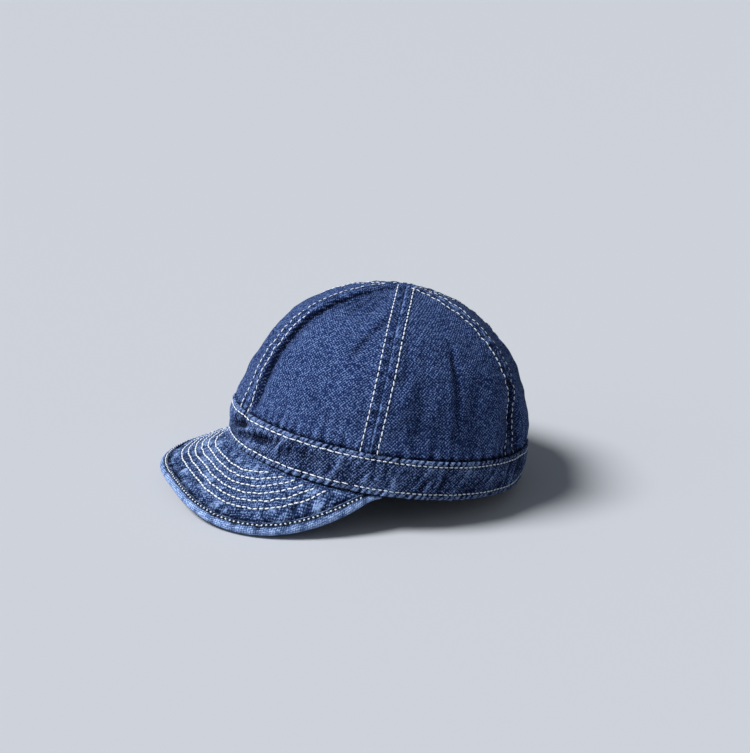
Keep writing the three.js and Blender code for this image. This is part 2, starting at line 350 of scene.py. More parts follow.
def mesh_piece(name: str, points: Array, faces: list, plan: Array, values: dict[str, Array]) -> Piece:
    """Makes a smooth mesh object with a UV map and one number for each vertex and value.

    Args:
        name: the piece's name.
        points: vertices by 3 places on the table, in metres.
        faces: lists of vertex numbers.
        plan: vertices by 2 places on the piece's own surface, in millimetres.
        values: arrays of one number for each vertex, by name.

    Returns:
        The new object, linked to the scene.
    """
    mesh = bpy.data.meshes.new(name)
    mesh.from_pydata(points, [], faces)
    corner = np.zeros(len(mesh.loops), int)
    mesh.loops.foreach_get("vertex_index", corner)
    layer = mesh.uv_layers.new(name="cloth")
    layer.data.foreach_set("uv", plan[corner].astype(np.float32).reshape(-1))
    for key, value in values.items():
        mesh.attributes.new(key, "FLOAT", "POINT").data.foreach_set("value", value.astype(np.float32))
    mesh.shade_smooth()
    mesh.update()
    piece = bpy.data.objects.new(name, mesh)
    bpy.context.scene.collection.objects.link(piece)
    return piece


def merge_poles(mesh: bpy.types.Mesh) -> None:
    """Merges the points that meet in one place at the end of a tapered piece."""
    work = bmesh.new()
    work.from_mesh(mesh)
    bmesh.ops.remove_doubles(work, verts=work.verts, dist=MERGE_DISTANCE)
    work.to_mesh(mesh)
    work.free()


@dataclass(frozen=True)
class Dent:
    """A long hollow of the band, or a ridge where its depth is negative.

    Args:
        angle, height: its middle.
        rise: how steeply it climbs round the head, in degrees.
        half_length, half_width: its half-sizes, in millimetres.
        depth: its depth, in millimetres.
    """

    name: str
    angle: float
    height: float
    rise: float
    half_length: float
    half_width: float
    depth: float


@dataclass(frozen=True)
class BandForm:
    """Shape of the band round the head: an oval that flares upwards, with wavy edges and dents.

    Args:
        girth: length round the lower edge of the outer face, in millimetres.
        oval: length of the oval over its width.
        height, wall, edge: height, thickness and radius of the rounded edges, in millimetres.
        flare: how far it widens for each millimetre of height.
        side_sag, front_lift: how far the edges sag at both sides and rise in front, in millimetres.
        dents: hollows and ridges low on the front.
    """

    girth: float = 580.0
    oval: float = 1.12
    height: float = 24.0
    wall: float = 2.6
    edge: float = 0.9
    flare: float = 0.077
    side_sag: float = 1.5
    front_lift: float = 0.6
    dents: tuple[Dent, ...] = (
        Dent("upper hollow", 1.3, 14.9, 13.0, 13.0, 1.9, 2.2),
        Dent("lower hollow", 13.5, 12.6, 11.0, 15.0, 2.3, 2.8),
        Dent("soft hollow behind them", 33.0, 13.2, 9.0, 12.0, 3.0, 0.9),
        Dent("ridge between them", 3.5, 13.4, 20.0, 14.0, 1.6, -1.0),
        Dent("ridge below them", 14.0, 8.0, 6.0, 14.0, 2.2, -0.7),
        Dent("ridge behind them", 25.5, 14.2, 50.0, 5.5, 1.5, -0.8),
    )

    @property
    def side(self) -> float:
        """Half-width of the outer face at its lower edge."""
        return self.girth / np.pi / (1.0 + self.oval)

    @property
    def length(self) -> float:
        """Half-length of the outer face at its lower edge."""
        return self.side * self.oval

    def wave(self, theta: Array) -> Array:
        """Rise and fall of the edges: a sag at both sides and a lift at the front."""
        sag = self.side_sag * (np.cos(2.0 * theta) - 1.0) / 2.0
        return sag + self.front_lift * np.maximum(np.cos(theta), 0.0) ** 3

    def dent(self, theta: Array, height: Array) -> Array:
        """Depth of all dents: each a bell along its own direction times a bell across it."""
        depth = np.zeros(np.broadcast(theta, height).shape)
        for dent in self.dents:
            along = turn_between(theta, np.radians(dent.angle)) * self.side
            above = height - dent.height
            cosine, sine = np.cos(np.radians(dent.rise)), np.sin(np.radians(dent.rise))
            length = bell(along * cosine + above * sine, dent.half_length)
            depth += dent.depth * length * bell(above * cosine - along * sine, dent.half_width)
        return depth

    def foot(self, theta: Array) -> tuple[Array, Array]:
        """Level position of the lower edge of the outer face."""
        return self.side * np.sin(theta), -self.length * np.cos(theta)

    def point(self, theta: Array, height: Array, inset: Array | float) -> Array:
        """Point at an angle and a height, a distance in from the plain outer face."""
        out = self.flare * height - inset - self.dent(theta, height)
        x = (self.side + out) * np.sin(theta)
        y = -(self.length + out) * np.cos(theta)
        return np.stack([x, y, height + self.wave(theta)], axis=-1)

    def normal(self, theta: Array) -> Array:
        """Level direction square to the outer face."""
        x = np.sin(theta) / self.side
        y = -np.cos(theta) / self.length
        size = np.hypot(x, y)
        return np.stack([x / size, y / size, np.zeros_like(theta)], axis=-1)


BAND_FORM = BandForm()


@dataclass(frozen=True)
class CrownRow:
    """One row of the crown's outline: its height and its half-sizes to the front, side and back."""

    name: str
    height: float
    front: float
    side: float
    back: float


@dataclass(frozen=True)
class Fold:
    """A soft valley of the crown between two rows of the outline, or a ridge where its depth is negative.

    Args:
        angle: angle from the front, in degrees.
        beside: distance from that angle at its lower end, in millimetres.
        low, high: rows where it begins and ends.
        width, depth: its size, in millimetres.
        lean: how far it drifts sideways from row to row, in millimetres.
    """

    name: str
    angle: float
    beside: float
    low: float
    high: float
    width: float
    depth: float
    lean: float = 0.0


CROWN_ROWS = (
    CrownRow("hem", 14, 94.9, 84.5, 94.9),
    CrownRow("band top", 24, 95.6, 85.2, 95.0),
    CrownRow("lower wall", 36, 93.4, 84.4, 96.2),
    CrownRow("wall", 53, 89.0, 82.2, 90.5),
    CrownRow("shoulder", 72.5, 79.0, 74.2, 81.2),
    CrownRow("upper shoulder", 90.5, 62.2, 58.4, 62.2),
    CrownRow("dome", 104, 34.0, 32.5, 35.5),
    CrownRow("top", 110.2, 0, 0, 0),
)
FOLDS = (
    Fold("pinch behind front seam", 0, 9.5, 0.9, 6.3, 4.2, 1.9),
    Fold("crease along the front seam", 0, 7.6, 2.6, 6.6, 1.5, 1.7, -0.75),
    Fold("shallower lower part of it", 0, 8.8, 1.0, 3.4, 1.6, 1.4, -0.75),
    Fold("front fan, first", 15, 0, 5.0, 6.7, 2.6, 1.3),
    Fold("front fan, second", 26, 0, 5.0, 6.7, 2.5, 1.8),
    Fold("front fan, third", 42, 0, 3.8, 5.9, 2.9, 2.0, 6.4),
    Fold("front fan, fourth", 38, 0, 5.2, 6.7, 2.9, 1.2),
    Fold("side fold by side seam", 60, 23, 1.1, 4.2, 6.0, 1.2),
    Fold("side fold, middle", 60, 39, 1.1, 3.8, 5.5, 0.9),
    Fold("side fold, rear", 60, 57, 1.1, 4.4, 6.0, 1.1),
    Fold("narrow fold, side middle", 92.2, 0, 1.6, 5.2, 2.4, 1.7),
    Fold("ridge before it", 88.6, 0, 2.0, 4.8, 2.4, -0.5),
    Fold("narrow fold, side front, low", 77, 0, 1.8, 3.3, 2.4, 0.8),
    Fold("narrow fold, side front, high", 76.5, 0, 3.8, 5.2, 2.4, 0.6),
    Fold("narrow fold by side seam", 68, 0, 3.3, 5.1, 2.4, 0.9),
    Fold("dip before back seam", 124, -11, 0.9, 3.4, 5.0, 1.3),
    Fold("tuck at the foot of the back seam", 124, 1, 0.8, 3.5, 9.0, 3.4),
    Fold("crease inside the tuck", 124, 0.6, 1.5, 4.2, 3.1, 4.2),
    Fold("crease behind the tuck", 124, 9.0, 0.9, 3.4, 2.9, 2.2),
    Fold("slack behind the back seam", 149, 0, 3.1, 5.6, 15.0, 2.4),
    Fold("bulge below it", 149, 0, 1.5, 3.8, 17.0, -1.1),
    Fold("rear fold, left", 163, 0, 1.1, 3.6, 7.0, 1.2),
    Fold("rear fold, right", 207, 0, 1.1, 3.9, 7.0, 1.1),
    Fold("right side fold, rear", 255, 0, 1.1, 4.0, 6.5, 1.2),
    Fold("right side fold, front", 278, 0, 1.1, 3.6, 6.0, 1.0),
    Fold("right front dip", 348, 0, 1.0, 4.6, 6.0, 1.0),
)


@dataclass(frozen=True)
class CrownForm:
    """Shape of the crown: a dome of six gores with raised seams, soft folds and puckers.

    Its surface is a function of the angle from the front and of the row of its outline, where
    row 0 is the hem hidden in the band and row 7 is the top.
    """

    seams: tuple[float, ...] = (0.0, 60.0, 124.0, 180.0, 236.0, 300.0, 360.0)
    wall: float = 1.2
    top: float = 7.0
    slope_step: float = 0.02
    climb_points: int = 400
    # Gores that lie flatter than the oval, and folds
    flatness: float = 1.4
    flat_from: Span = (1.2, 2.4)
    flat_to: Span = (5.2, 6.8)
    fold_fade: Span = (0.6, 0.8)
    # painted shade in the folds, for each millimetre of depth over width
    fold_shade: float = 0.55
    # Raised strips beside the seams, the folded edges where two gores join, and the stitch grooves
    stitch_offset: float = 5.0
    seam_relief: float = 0.6
    strip_edge: Span = (5.4, 6.3)
    cover_edge: Span = (4.4, 5.3)
    join: Line = Line(0.0, 0.55, 0.6)
    join_crest: Line = Line(0.9, 0.5)
    groove: Line = Line(5.0, 0.6, 0.35)
    # Puckers beside the seams and over the band
    seam_waves: Ripples = Ripples(5.0, 9.5, 11, (3.0, 1.0))
    seam_sides_apart: float = 40.0
    seam_pucker: float = 0.2
    seam_pucker_from: Span = (0.3, 2.0)
    seam_pucker_to: Span = (4.0, 13.0)
    hem_waves: RoundRipples = RoundRipples(52, 105, 12, spread=0.12)
    hem_pucker: float = 0.65
    hem_pucker_fade: float = 6.5
    hem_swell: float = 0.9
    hem_swell_to: Span = (0.0, 16.0)
    most_pucker: float = 0.8
    # Slack of the whole cloth
    broad_waves: Ripples = Ripples(20.0, 46.0, 13)
    crumple: float = 0.42
    crumple_from: Span = (3.0, 16.0)
    fine_waves: Ripples = Ripples(7.0, 15.0, 14)
    fine_crumple: float = 0.16

    def column(self, key: str, row: Array) -> Array:
        """Smooth curve through one column of the outline's table, at fractional rows.

        Each stretch is a cubic whose slopes come from the rows on both sides. Past the top row
        the half-sizes go on with the opposite sign, so that the dome is round there.
        """
        values = np.array([getattr(entry, key) for entry in CROWN_ROWS], float)
        before = 2.0 * values[0] - values[1]
        after = -values[-2] if values[-1] == 0 else values[-2]
        padded = np.concatenate([[before], values, [after]])
        i = np.clip(np.floor(row).astype(int), 0, len(values) - 2)
        t = row - i
        slope_in = (padded[i + 2] - padded[i]) / 2.0
        slope_out = (padded[i + 3] - padded[i + 1]) / 2.0
        start, end = padded[i + 1], padded[i + 2]
        blend = t * t * (3.0 - 2.0 * t)
        level = start + (end - start) * blend
        return level + slope_in * t * (1.0 - t) ** 2 - slope_out * t * t * (1.0 - t)

    def base(self, theta: Array, row: Array) -> Array:
        """Plain outer surface: an oval at each row, whose front and back lengths differ."""
        along = np.where(np.cos(theta) > 0, self.column("front", row), self.column("back", row))
        x = self.column("side", row) * np.sin(theta)
        y = -along * np.cos(theta)
        wave = BAND_FORM.wave(theta) * (1.0 - row / self.top) ** 2
        return np.stack([x, y, self.column("height", row) + wave], axis=-1)

    def normal(self, theta: Array, row: Array) -> Array:
        """Outward direction of the plain surface, from its two slopes."""
        step = self.slope_step
        row = np.minimum(row, self.top - 2.0 * step)
        across = self.base(theta + step, row) - self.base(theta - step, row)
        up = self.base(theta, row + step) - self.base(theta, np.maximum(row - step, 0.0))
        out = np.cross(across, up)
        return out / np.linalg.norm(out, axis=-1, keepdims=True)

    def spread(self, seam: float, row: Array) -> Array:
        """Distance round the crown for each radian at a seam, by row."""
        along = self.column("front" if np.cos(seam) > 0 else "back", row)
        return np.hypot(self.column("side", row) * np.cos(seam), along * np.sin(seam))

    def climb(self, row: Array) -> Array:
        """Length of cloth from the hem up to a row, along the outline beside the front."""
        rows = np.linspace(0.0, self.top, self.climb_points)
        outline = self.base(np.full_like(rows, np.pi / 4), rows)
        steps = np.linalg.norm(np.diff(outline, axis=0), axis=1)
        return np.interp(row, rows, np.concatenate([[0.0], np.cumsum(steps)]))

    def panel_of(self, theta: Array) -> tuple[Array, Array]:
        """Angles where the panel that holds each point begins and ends, in radians."""
        seams = np.radians(self.seams)
        whole = np.mod(theta, TURN)
        index = np.clip(np.searchsorted(seams, whole, side="right") - 1, 0, len(seams) - 2)
        return seams[index], seams[index + 1]

    def beside(self, theta: Array, row: Array, from_seam: Array, to_seam: Array) -> tuple[Array, Array]:
        """How far each point lies from the nearest side seam and from the seam over the top.

        Returns:
            The distance to the nearest seam of any kind, and the distance to the long seam
            that runs from the front over the top to the back.
        """
        long_seam = np.abs(self.column("side", row) * np.sin(theta))
        nearest = long_seam
        for seam in np.radians(self.seams[:-1]):
            turn = np.abs(turn_between(theta, seam))
            aside = self.spread(seam, row) * np.sin(np.minimum(turn, np.pi / 2))
            first = np.isclose(turn_between(from_seam, seam), 0)
            last = np.isclose(turn_between(to_seam, seam), 0)
            nearest = np.where(first | last, np.minimum(nearest, aside), nearest)
        return nearest, long_seam

    def folds(self, theta: Array, row: Array, radius: Array) -> tuple[Array, Array]:
        """Depth of the folds: each a bell across, which fades out at both of its ends.

        Returns:
            The depth in millimetres, and how sheltered the cloth is, which is greater in narrow folds.
        """
        depth = np.zeros(np.broadcast(theta, row).shape)
        painted_shade = np.zeros_like(depth)
        for fold in FOLDS:
            away = turn_between(theta, np.radians(fold.angle)) * radius - fold.beside
            away = away - fold.lean * (row - fold.low)
            begun = ramp(row, fold.low, fold.low + self.fold_fade[0])
            ended = ramp(row, fold.high - self.fold_fade[1], fold.high)
            part = fold.depth * begun * (1.0 - ended) * bell(away, fold.width)
            depth += part
            # painted shade of the fold: darker in deep narrow folds, lighter on ridges
            painted_shade += self.fold_shade * part / fold.width
        return depth, painted_shade

    def radius(self, row: Array, from_seam: Array, to_seam: Array) -> Array:
        """Distance from the middle of the head to the middle of a panel, by row."""
        middle = self.base((from_seam + to_seam) / 2.0, row)
        return np.hypot(middle[..., 0], middle[..., 1])

    def sunk(self, theta: Array, row: Array, from_seam: Array, to_seam: Array) -> Array:
        """How far the cloth as a whole lies in from the plain surface: flat gores, folds and the dent."""
        radius = self.radius(row, from_seam, to_seam)
        reach = ramp(row, *self.flat_from) * (1.0 - ramp(row, *self.flat_to))
        across = (np.mod(theta, TURN) - from_seam) / (to_seam - from_seam)
        flat = self.flatness * reach * np.sin(np.pi * np.clip(across, 0.0, 1.0)) ** 2
        height = self.column("height", row)
        return flat + self.folds(theta, row, radius)[0] + BAND_FORM.dent(theta, height)

    def details(self, theta: Array, row: Array, from_seam: Array, to_seam: Array) -> dict[str, Array]:
        """Seam strips, stitch grooves and puckers of the right side.

        Returns:
            relief: height over the sunk surface, in millimetres.
            drift: the part of the relief that the reverse follows, in millimetres.
            pucker: the puckers alone, in millimetres.
            nearest: distance to the nearest seam, in millimetres.
            climb, above_band: length of cloth up from the hem and from the band, in millimetres.
            join: how near the folded edge of a seam is, from 0 to 1.
            turned: whether the point is in the half of a panel that has the folded edge.
            painted_shade: painted shade of the folds at the point, negative on ridges.
        """
        nearest, long_seam = self.beside(theta, row, from_seam, to_seam)
        climb = self.climb(row)
        over_band = climb - self.climb(np.array(1.0))
        strip = 1.0 - ramp(nearest, *self.strip_edge)
        own_join = ramp(long_seam, *self.cover_edge)
        own_join = np.where(np.abs(nearest - long_seam) < SAME_PLACE, 1.0, own_join)
        turned = np.mod(theta, TURN) * 2.0 < from_seam + to_seam
        apart = self.seam_sides_apart * np.sign(theta - from_seam)
        held = ramp(nearest, *self.seam_pucker_from) * (1.0 - ramp(nearest, *self.seam_pucker_to))
        pucker = self.seam_pucker * self.seam_waves.at(nearest + apart, climb) * held
        above_band = np.maximum(over_band, 0.0)
        hem = self.hem_pucker * self.hem_waves.at(theta, climb) * np.exp(-above_band / self.hem_pucker_fade)
        pucker = limited(pucker + hem, self.most_pucker)
        places = np.moveaxis(self.base(theta, row), -1, 0)
        crumple = self.crumple * self.broad_waves.at(*places) * ramp(nearest, *self.crumple_from)
        crumple = crumple + self.fine_crumple * self.fine_waves.at(*places)
        drift = crumple + self.hem_swell * (1.0 - ramp(over_band, *self.hem_swell_to))
        sunk = self.join.at(nearest) * own_join + self.groove.at(nearest)
        return {
            "relief": self.seam_relief * strip - sunk + pucker + drift,
            "drift": drift,
            "pucker": pucker,
            "nearest": nearest,
            "climb": climb,
            "above_band": above_band,
            "join": self.join_crest.at(nearest) * own_join * turned,
            "turned": turned,
            "painted_shade": self.folds(theta, row, self.radius(row, from_seam, to_seam))[1],
        }

    def surface(self, theta: Array, row: Array) -> Array:
        """Points of the finished right side."""
        from_seam, to_seam = self.panel_of(theta)
        lift = self.details(theta, row, from_seam, to_seam)["relief"]
        lift = lift - self.sunk(theta, row, from_seam, to_seam)
        return self.base(theta, row) + self.normal(theta, row) * lift[..., None]


CROWN_FORM = CrownForm()


@dataclass(frozen=True)
class BrimForm:
    """Shape of the brim: how far its outline lies from the band, and how it drops and curls outwards.

    A point of it is given by the angle round the head and by the distance out from the lower edge
    of the band, measured level. Lengths are in millimetres and angles in degrees.
    """

    # Outline: half-sizes and middle of a superellipse
    half_width: float = 81.5
    sway: float = -1.0
    reach_forward: float = 102.0
    middle_y: float = -35.7
    squareness: float = 2.5
    row_squareness: float = 2.7
    # Drop for each millimetre outwards, and the curl and the bend that soften it
    drop_front: float = 0.68
    drop_side: float = 0.6
    drop_end: float = 0.24
    drop_twist: float = 0.26
    curl: float = 0.0015
    bend: float = 2.6
    # Soft rise of the right half
    bulge_angle: float = -26.0
    bulge_half_angle: float = 22.0
    bulge_height: float = 2.4
    bulge_reach: float = 45.0
    # Cloth, and how far it reaches under the band, into the tape and towards both ends
    gap: float = 0.3
    ply: float = 1.0
    root: float = -2.4
    edge: float = 2.4
    tip: float = 3.0
    end_from: float = 46.0
    end_to: float = 67.0
    end_dip: float = 0.3
    end_thinning: float = 0.4
    # Where the outline and its ends are looked for
    slope_step: float = 0.01
    inset_search: Span = (-30.0, 80.5)
    reach_search: Span = (-8.0, 60.0)
    end_search: Span = (45.0, 88.0)
    end_points: int = 600
    newton_steps: int = 8

    def plan(self, theta: Array, out: Array) -> tuple[Array, Array]:
        """Level position: the band's lower edge plus a distance along its normal."""
        normal = BAND_FORM.normal(theta)
        x, y = BAND_FORM.foot(theta)
        return x + out * normal[..., 0], y + out * normal[..., 1]

    def at_end(self, theta: Array) -> Array:
        """Rises from 0 along the front to 1 at the two ends of the brim."""
        return ramp(np.abs(theta), np.radians(self.end_from), np.radians(self.end_to))

    def bulge(self, theta: Array, out: Array) -> Array:
        """Soft rise of the right half: a bell round an angle times a sine of the distance out."""
        away = theta - np.radians(self.bulge_angle)
        part = np.clip(out / self.bulge_reach, 0.0, 1.0)
        return self.bulge_height * bell(away, np.radians(self.bulge_half_angle)) * np.sin(np.pi * part)

    def face(self, theta: Array, out: Array) -> Array:
        """Upper face: it drops in proportion to the distance out, bends in at the band and curls up."""
        x, y = self.plan(theta, out)
        side = np.sin(theta) ** 2
        slope = self.drop_front + self.drop_side * side + self.drop_end * side * side
        slope = slope + self.drop_twist * np.sin(theta)
        bent = (out + np.hypot(out, self.bend)) / 2.0
        rise = self.curl * np.maximum(out, 0.0) ** 2 - self.gap - self.end_dip * self.at_end(theta)
        rise = rise + self.bulge(theta, out)
        return np.stack([x, y, BAND_FORM.wave(theta) + rise - slope * bent], axis=-1)

    def normal(self, theta: Array, out: Array) -> Array:
        """Direction square to the upper face, upwards."""
        step = self.slope_step
        across = self.face(theta + step, out) - self.face(theta - step, out)
        outwards = self.face(theta, out + step) - self.face(theta, out - step)
        up = np.cross(outwards, across)
        return up / np.linalg.norm(up, axis=-1, keepdims=True)

    def point(self, theta: Array, out: Array, depth: Array | float) -> Array:
        """Point at a depth under the upper face, pressed thinner at the ends."""
        pressed = 1.0 + (self.end_thinning - 1.0) * self.at_end(theta)
        return self.face(theta, out) - self.normal(theta, out) * (depth * pressed)[..., None]

    def inset(self, x: Array, y: Array, squareness: float) -> Array:
        """How far a level position lies in from the brim's outline.

        The outline is a superellipse with straight tails. The inset is the number that, taken off
        both of its half-sizes, makes it pass through the position, found by halving.

        Args:
            x, y: the level position.
            squareness: power of the superellipse, that of the outline or that of the stitch rows.

        Returns:
            The inset, negative outside the outline.
        """
        across = np.abs(x - self.sway)
        forward = np.maximum(self.middle_y - y, 0.0)

        def beyond(inset: Array) -> Array:
            """Whether the position lies outside the smaller superellipse."""
            wide = (across / (self.half_width - inset)) ** squareness
            return wide + (forward / (self.reach_forward - inset)) ** squareness > 1.0

        return halving(self.inset_search, np.shape(x), beyond)

    def reach(self, theta: Array) -> Array:
        """How far the outline lies out from the band at an angle, found by halving."""

        def beyond(out: Array) -> Array:
            """Whether the outline is passed at a distance out."""
            x, y = self.plan(theta, out)
            across = np.abs((x - self.sway) / self.half_width) ** self.squareness
            forward = (np.maximum(self.middle_y - y, 0.0) / self.reach_forward) ** self.squareness
            return across + forward > 1.0

        return halving(self.reach_search, np.shape(theta), beyond)

    def end(self, side: float, reach: float) -> float:
        """Angle on one side, -1 or 1, where the outline lies out from the band by a distance."""
        angles = np.radians(np.linspace(*self.end_search, self.end_points))
        return side * float(np.interp(-reach, -self.reach(side * angles), angles))

    def stations(self, reach: float, count: int, crowding: float) -> Array:
        """Angles from the right end to the left one, crowded at both, that end at a distance out."""
        right, left = self.end(-1.0, reach), self.end(1.0, reach)
        return right + (left - right) * crowded(count, crowding)

    def slant(self, theta: Array) -> Array:
        """Sine of the angle between the outline and the band's normal."""
        step = self.slope_step
        ahead = np.stack(self.plan(theta + step, self.reach(theta + step)), axis=-1)
        behind = np.stack(self.plan(theta - step, self.reach(theta - step)), axis=-1)
        along = ahead - behind
        along /= np.linalg.norm(along, axis=-1, keepdims=True)
        normal = BAND_FORM.normal(theta)
        return np.abs(along[..., 0] * normal[..., 1] - along[..., 1] * normal[..., 0])

    def stitch_row(self, inset: Array) -> tuple[Array, Array]:
        """Angle and distance out of the points on a row that lies in from the outline.

        The row is the superellipse with the inset taken off both half-sizes. Each level position
        is brought to the band's normal through it by Newton's rule.
        """
        turn = np.linspace(-np.pi / 2, np.pi / 2, len(inset))
        power = 2.0 / self.row_squareness
        x = self.sway + (self.half_width - inset) * np.sign(turn) * np.abs(np.sin(turn)) ** power
        y = self.middle_y - (self.reach_forward - inset) * np.abs(np.cos(turn)) ** power
        theta = np.arctan2(x / BAND_FORM.side, -y / BAND_FORM.length)
        for _ in range(self.newton_steps):
            foot_x, foot_y = BAND_FORM.foot(theta)
            tangent_x, tangent_y = BAND_FORM.side * np.cos(theta), BAND_FORM.length * np.sin(theta)
            miss = (x - foot_x) * tangent_x + (y - foot_y) * tangent_y
            slope = -(tangent_x**2 + tangent_y**2) - (x - foot_x) * foot_x - (y - foot_y) * foot_y
            theta = theta - miss / slope
        normal = BAND_FORM.normal(theta)
        foot_x, foot_y = BAND_FORM.foot(theta)
        return theta, (x - foot_x) * normal[..., 0] + (y - foot_y) * normal[..., 1]


BRIM_FORM = BrimForm()


class NodeSheet:
    """A material's node tree, with short calls for the nodes that cloth and thread need."""

    def __init__(self, name: str) -> None:
        """Starts a material with its one shader."""
        self.material = bpy.data.materials.new(name)
        self.material.use_nodes = True
        self.tree = self.material.node_tree
        self.shader = self.tree.nodes["Principled BSDF"]

    def feed(self, target: Socket, value: Socket | float | tuple) -> None:
        """Links a socket to the target, or sets the target to a plain value."""
        if isinstance(value, bpy.types.NodeSocket):
            self.tree.links.new(value, target)
        else:
            target.default_value = value

    def node(self, kind: str, *values: Socket | float | tuple, **settings: str | bool) -> bpy.types.Node:
        """Adds a node with some settings and feeds its first inputs in their order."""
        node = self.tree.nodes.new("ShaderNode" + kind)
        for name, setting in settings.items():
            setattr(node, name, setting)
        for target, value in zip(node.inputs, values):
            self.feed(target, value)
        return node

    def math(self, operation: str, first: Socket | float, second: Socket | float = 0.0) -> Socket:
        """One sum of two numbers."""
        return self.node("Math", first, second, operation=operation).outputs[0]

    def clamped(self, operation: str, first: Socket | float, second: Socket | float) -> Socket:
        """One sum of two numbers, kept between 0 and 1."""
        return self.node("Math", first, second, operation=operation, use_clamp=True).outputs[0]

    def weave_place(self) -> Socket:
        """Place on the cut cloth, in millimetres."""
        return self.node("UVMap", uv_map="cloth").outputs["UV"]

    def scaled(self, vector: Socket, *sizes: float) -> Socket:
        """Place on the cloth measured in steps of two sizes."""
        return self.node("VectorMath", vector, (*sizes, 1.0), operation="DIVIDE").outputs[0]

    def parts(self, vector: Socket) -> tuple[Socket, Socket]:
        """The first two coordinates of a place."""
        node = self.node("SeparateXYZ", vector)
        return node.outputs[0], node.outputs[1]

    def noise(self, vector: Socket, detail: float = 2.0) -> Socket:
        """Smooth unevenness from about -1 to 1, one step of the place wide."""
        node = self.node("TexNoise", vector)
        node.inputs["Scale"].default_value = 1.0
        node.inputs["Detail"].default_value = detail
        return self.centred(node.outputs[0])

    def centred(self, value: Socket) -> Socket:
        """Turns a value from 0 to 1 into one from -1 to 1."""
        return self.math("SUBTRACT", self.math("MULTIPLY", value, 2.0), 1.0)

    def cells(self, vector: Socket) -> Socket:
        """One random number from -1 to 1 for each square cell of the place."""
        corner = self.node("VectorMath", vector, operation="FLOOR").outputs[0]
        return self.centred(self.node("TexWhiteNoise", corner, noise_dimensions="2D").outputs["Value"])

    def value(self, name: str) -> Socket:
        """A number stored on the mesh."""
        return self.node("Attribute", attribute_name=name).outputs["Fac"]

    def total(self, *terms: tuple[Socket, float]) -> Socket:
        """Sum of values, each times its share."""
        result: Socket | float = 0.0
        for term, share in terms:
            result = self.math("ADD", self.math("MULTIPLY", term, share), result)
        return result

    def colours(self, tone: Socket, *stops: tuple[float, Colour]) -> Socket:
        """Colour from dark to pale by a tone from 0 to 1."""
        node = self.node("ValToRGB", tone)
        elements = node.color_ramp.elements
        while len(elements) < len(stops):
            elements.new(1.0)
        for element, (place, colour) in zip(elements, stops):
            element.position = place
            element.color = (*colour, 1.0)
        return node.outputs["Color"]

    def dimmed(self, colour: Socket, amount: Socket, most: float) -> Socket:
        """Darkens a colour by a share of most where the amount is 1."""
        node = self.node("VectorMath", colour, operation="SCALE")
        left = self.clamped("SUBTRACT", 1.0, self.math("MULTIPLY", amount, most))
        self.feed(node.inputs["Scale"], left)
        return node.outputs[0]

    def finish(self, colour: Socket | tuple, roughness: float, specular: float) -> Material:
        """Sets the shader's colour and its gloss, and hands over the material."""
        self.feed(self.shader.inputs["Base Color"], colour)
        self.shader.inputs["Roughness"].default_value = roughness
        self.shader.inputs["Specular IOR Level"].default_value = specular
        return self.material

    def bump(self, height: Socket, depth: float) -> None:
        """Gives the shader a relief of a depth in millimetres."""
        node = self.node("Bump")
        node.inputs["Distance"].default_value = depth * MM
        self.feed(node.inputs["Height"], height)
        self.tree.links.new(node.outputs["Normal"], self.shader.inputs["Normal"])


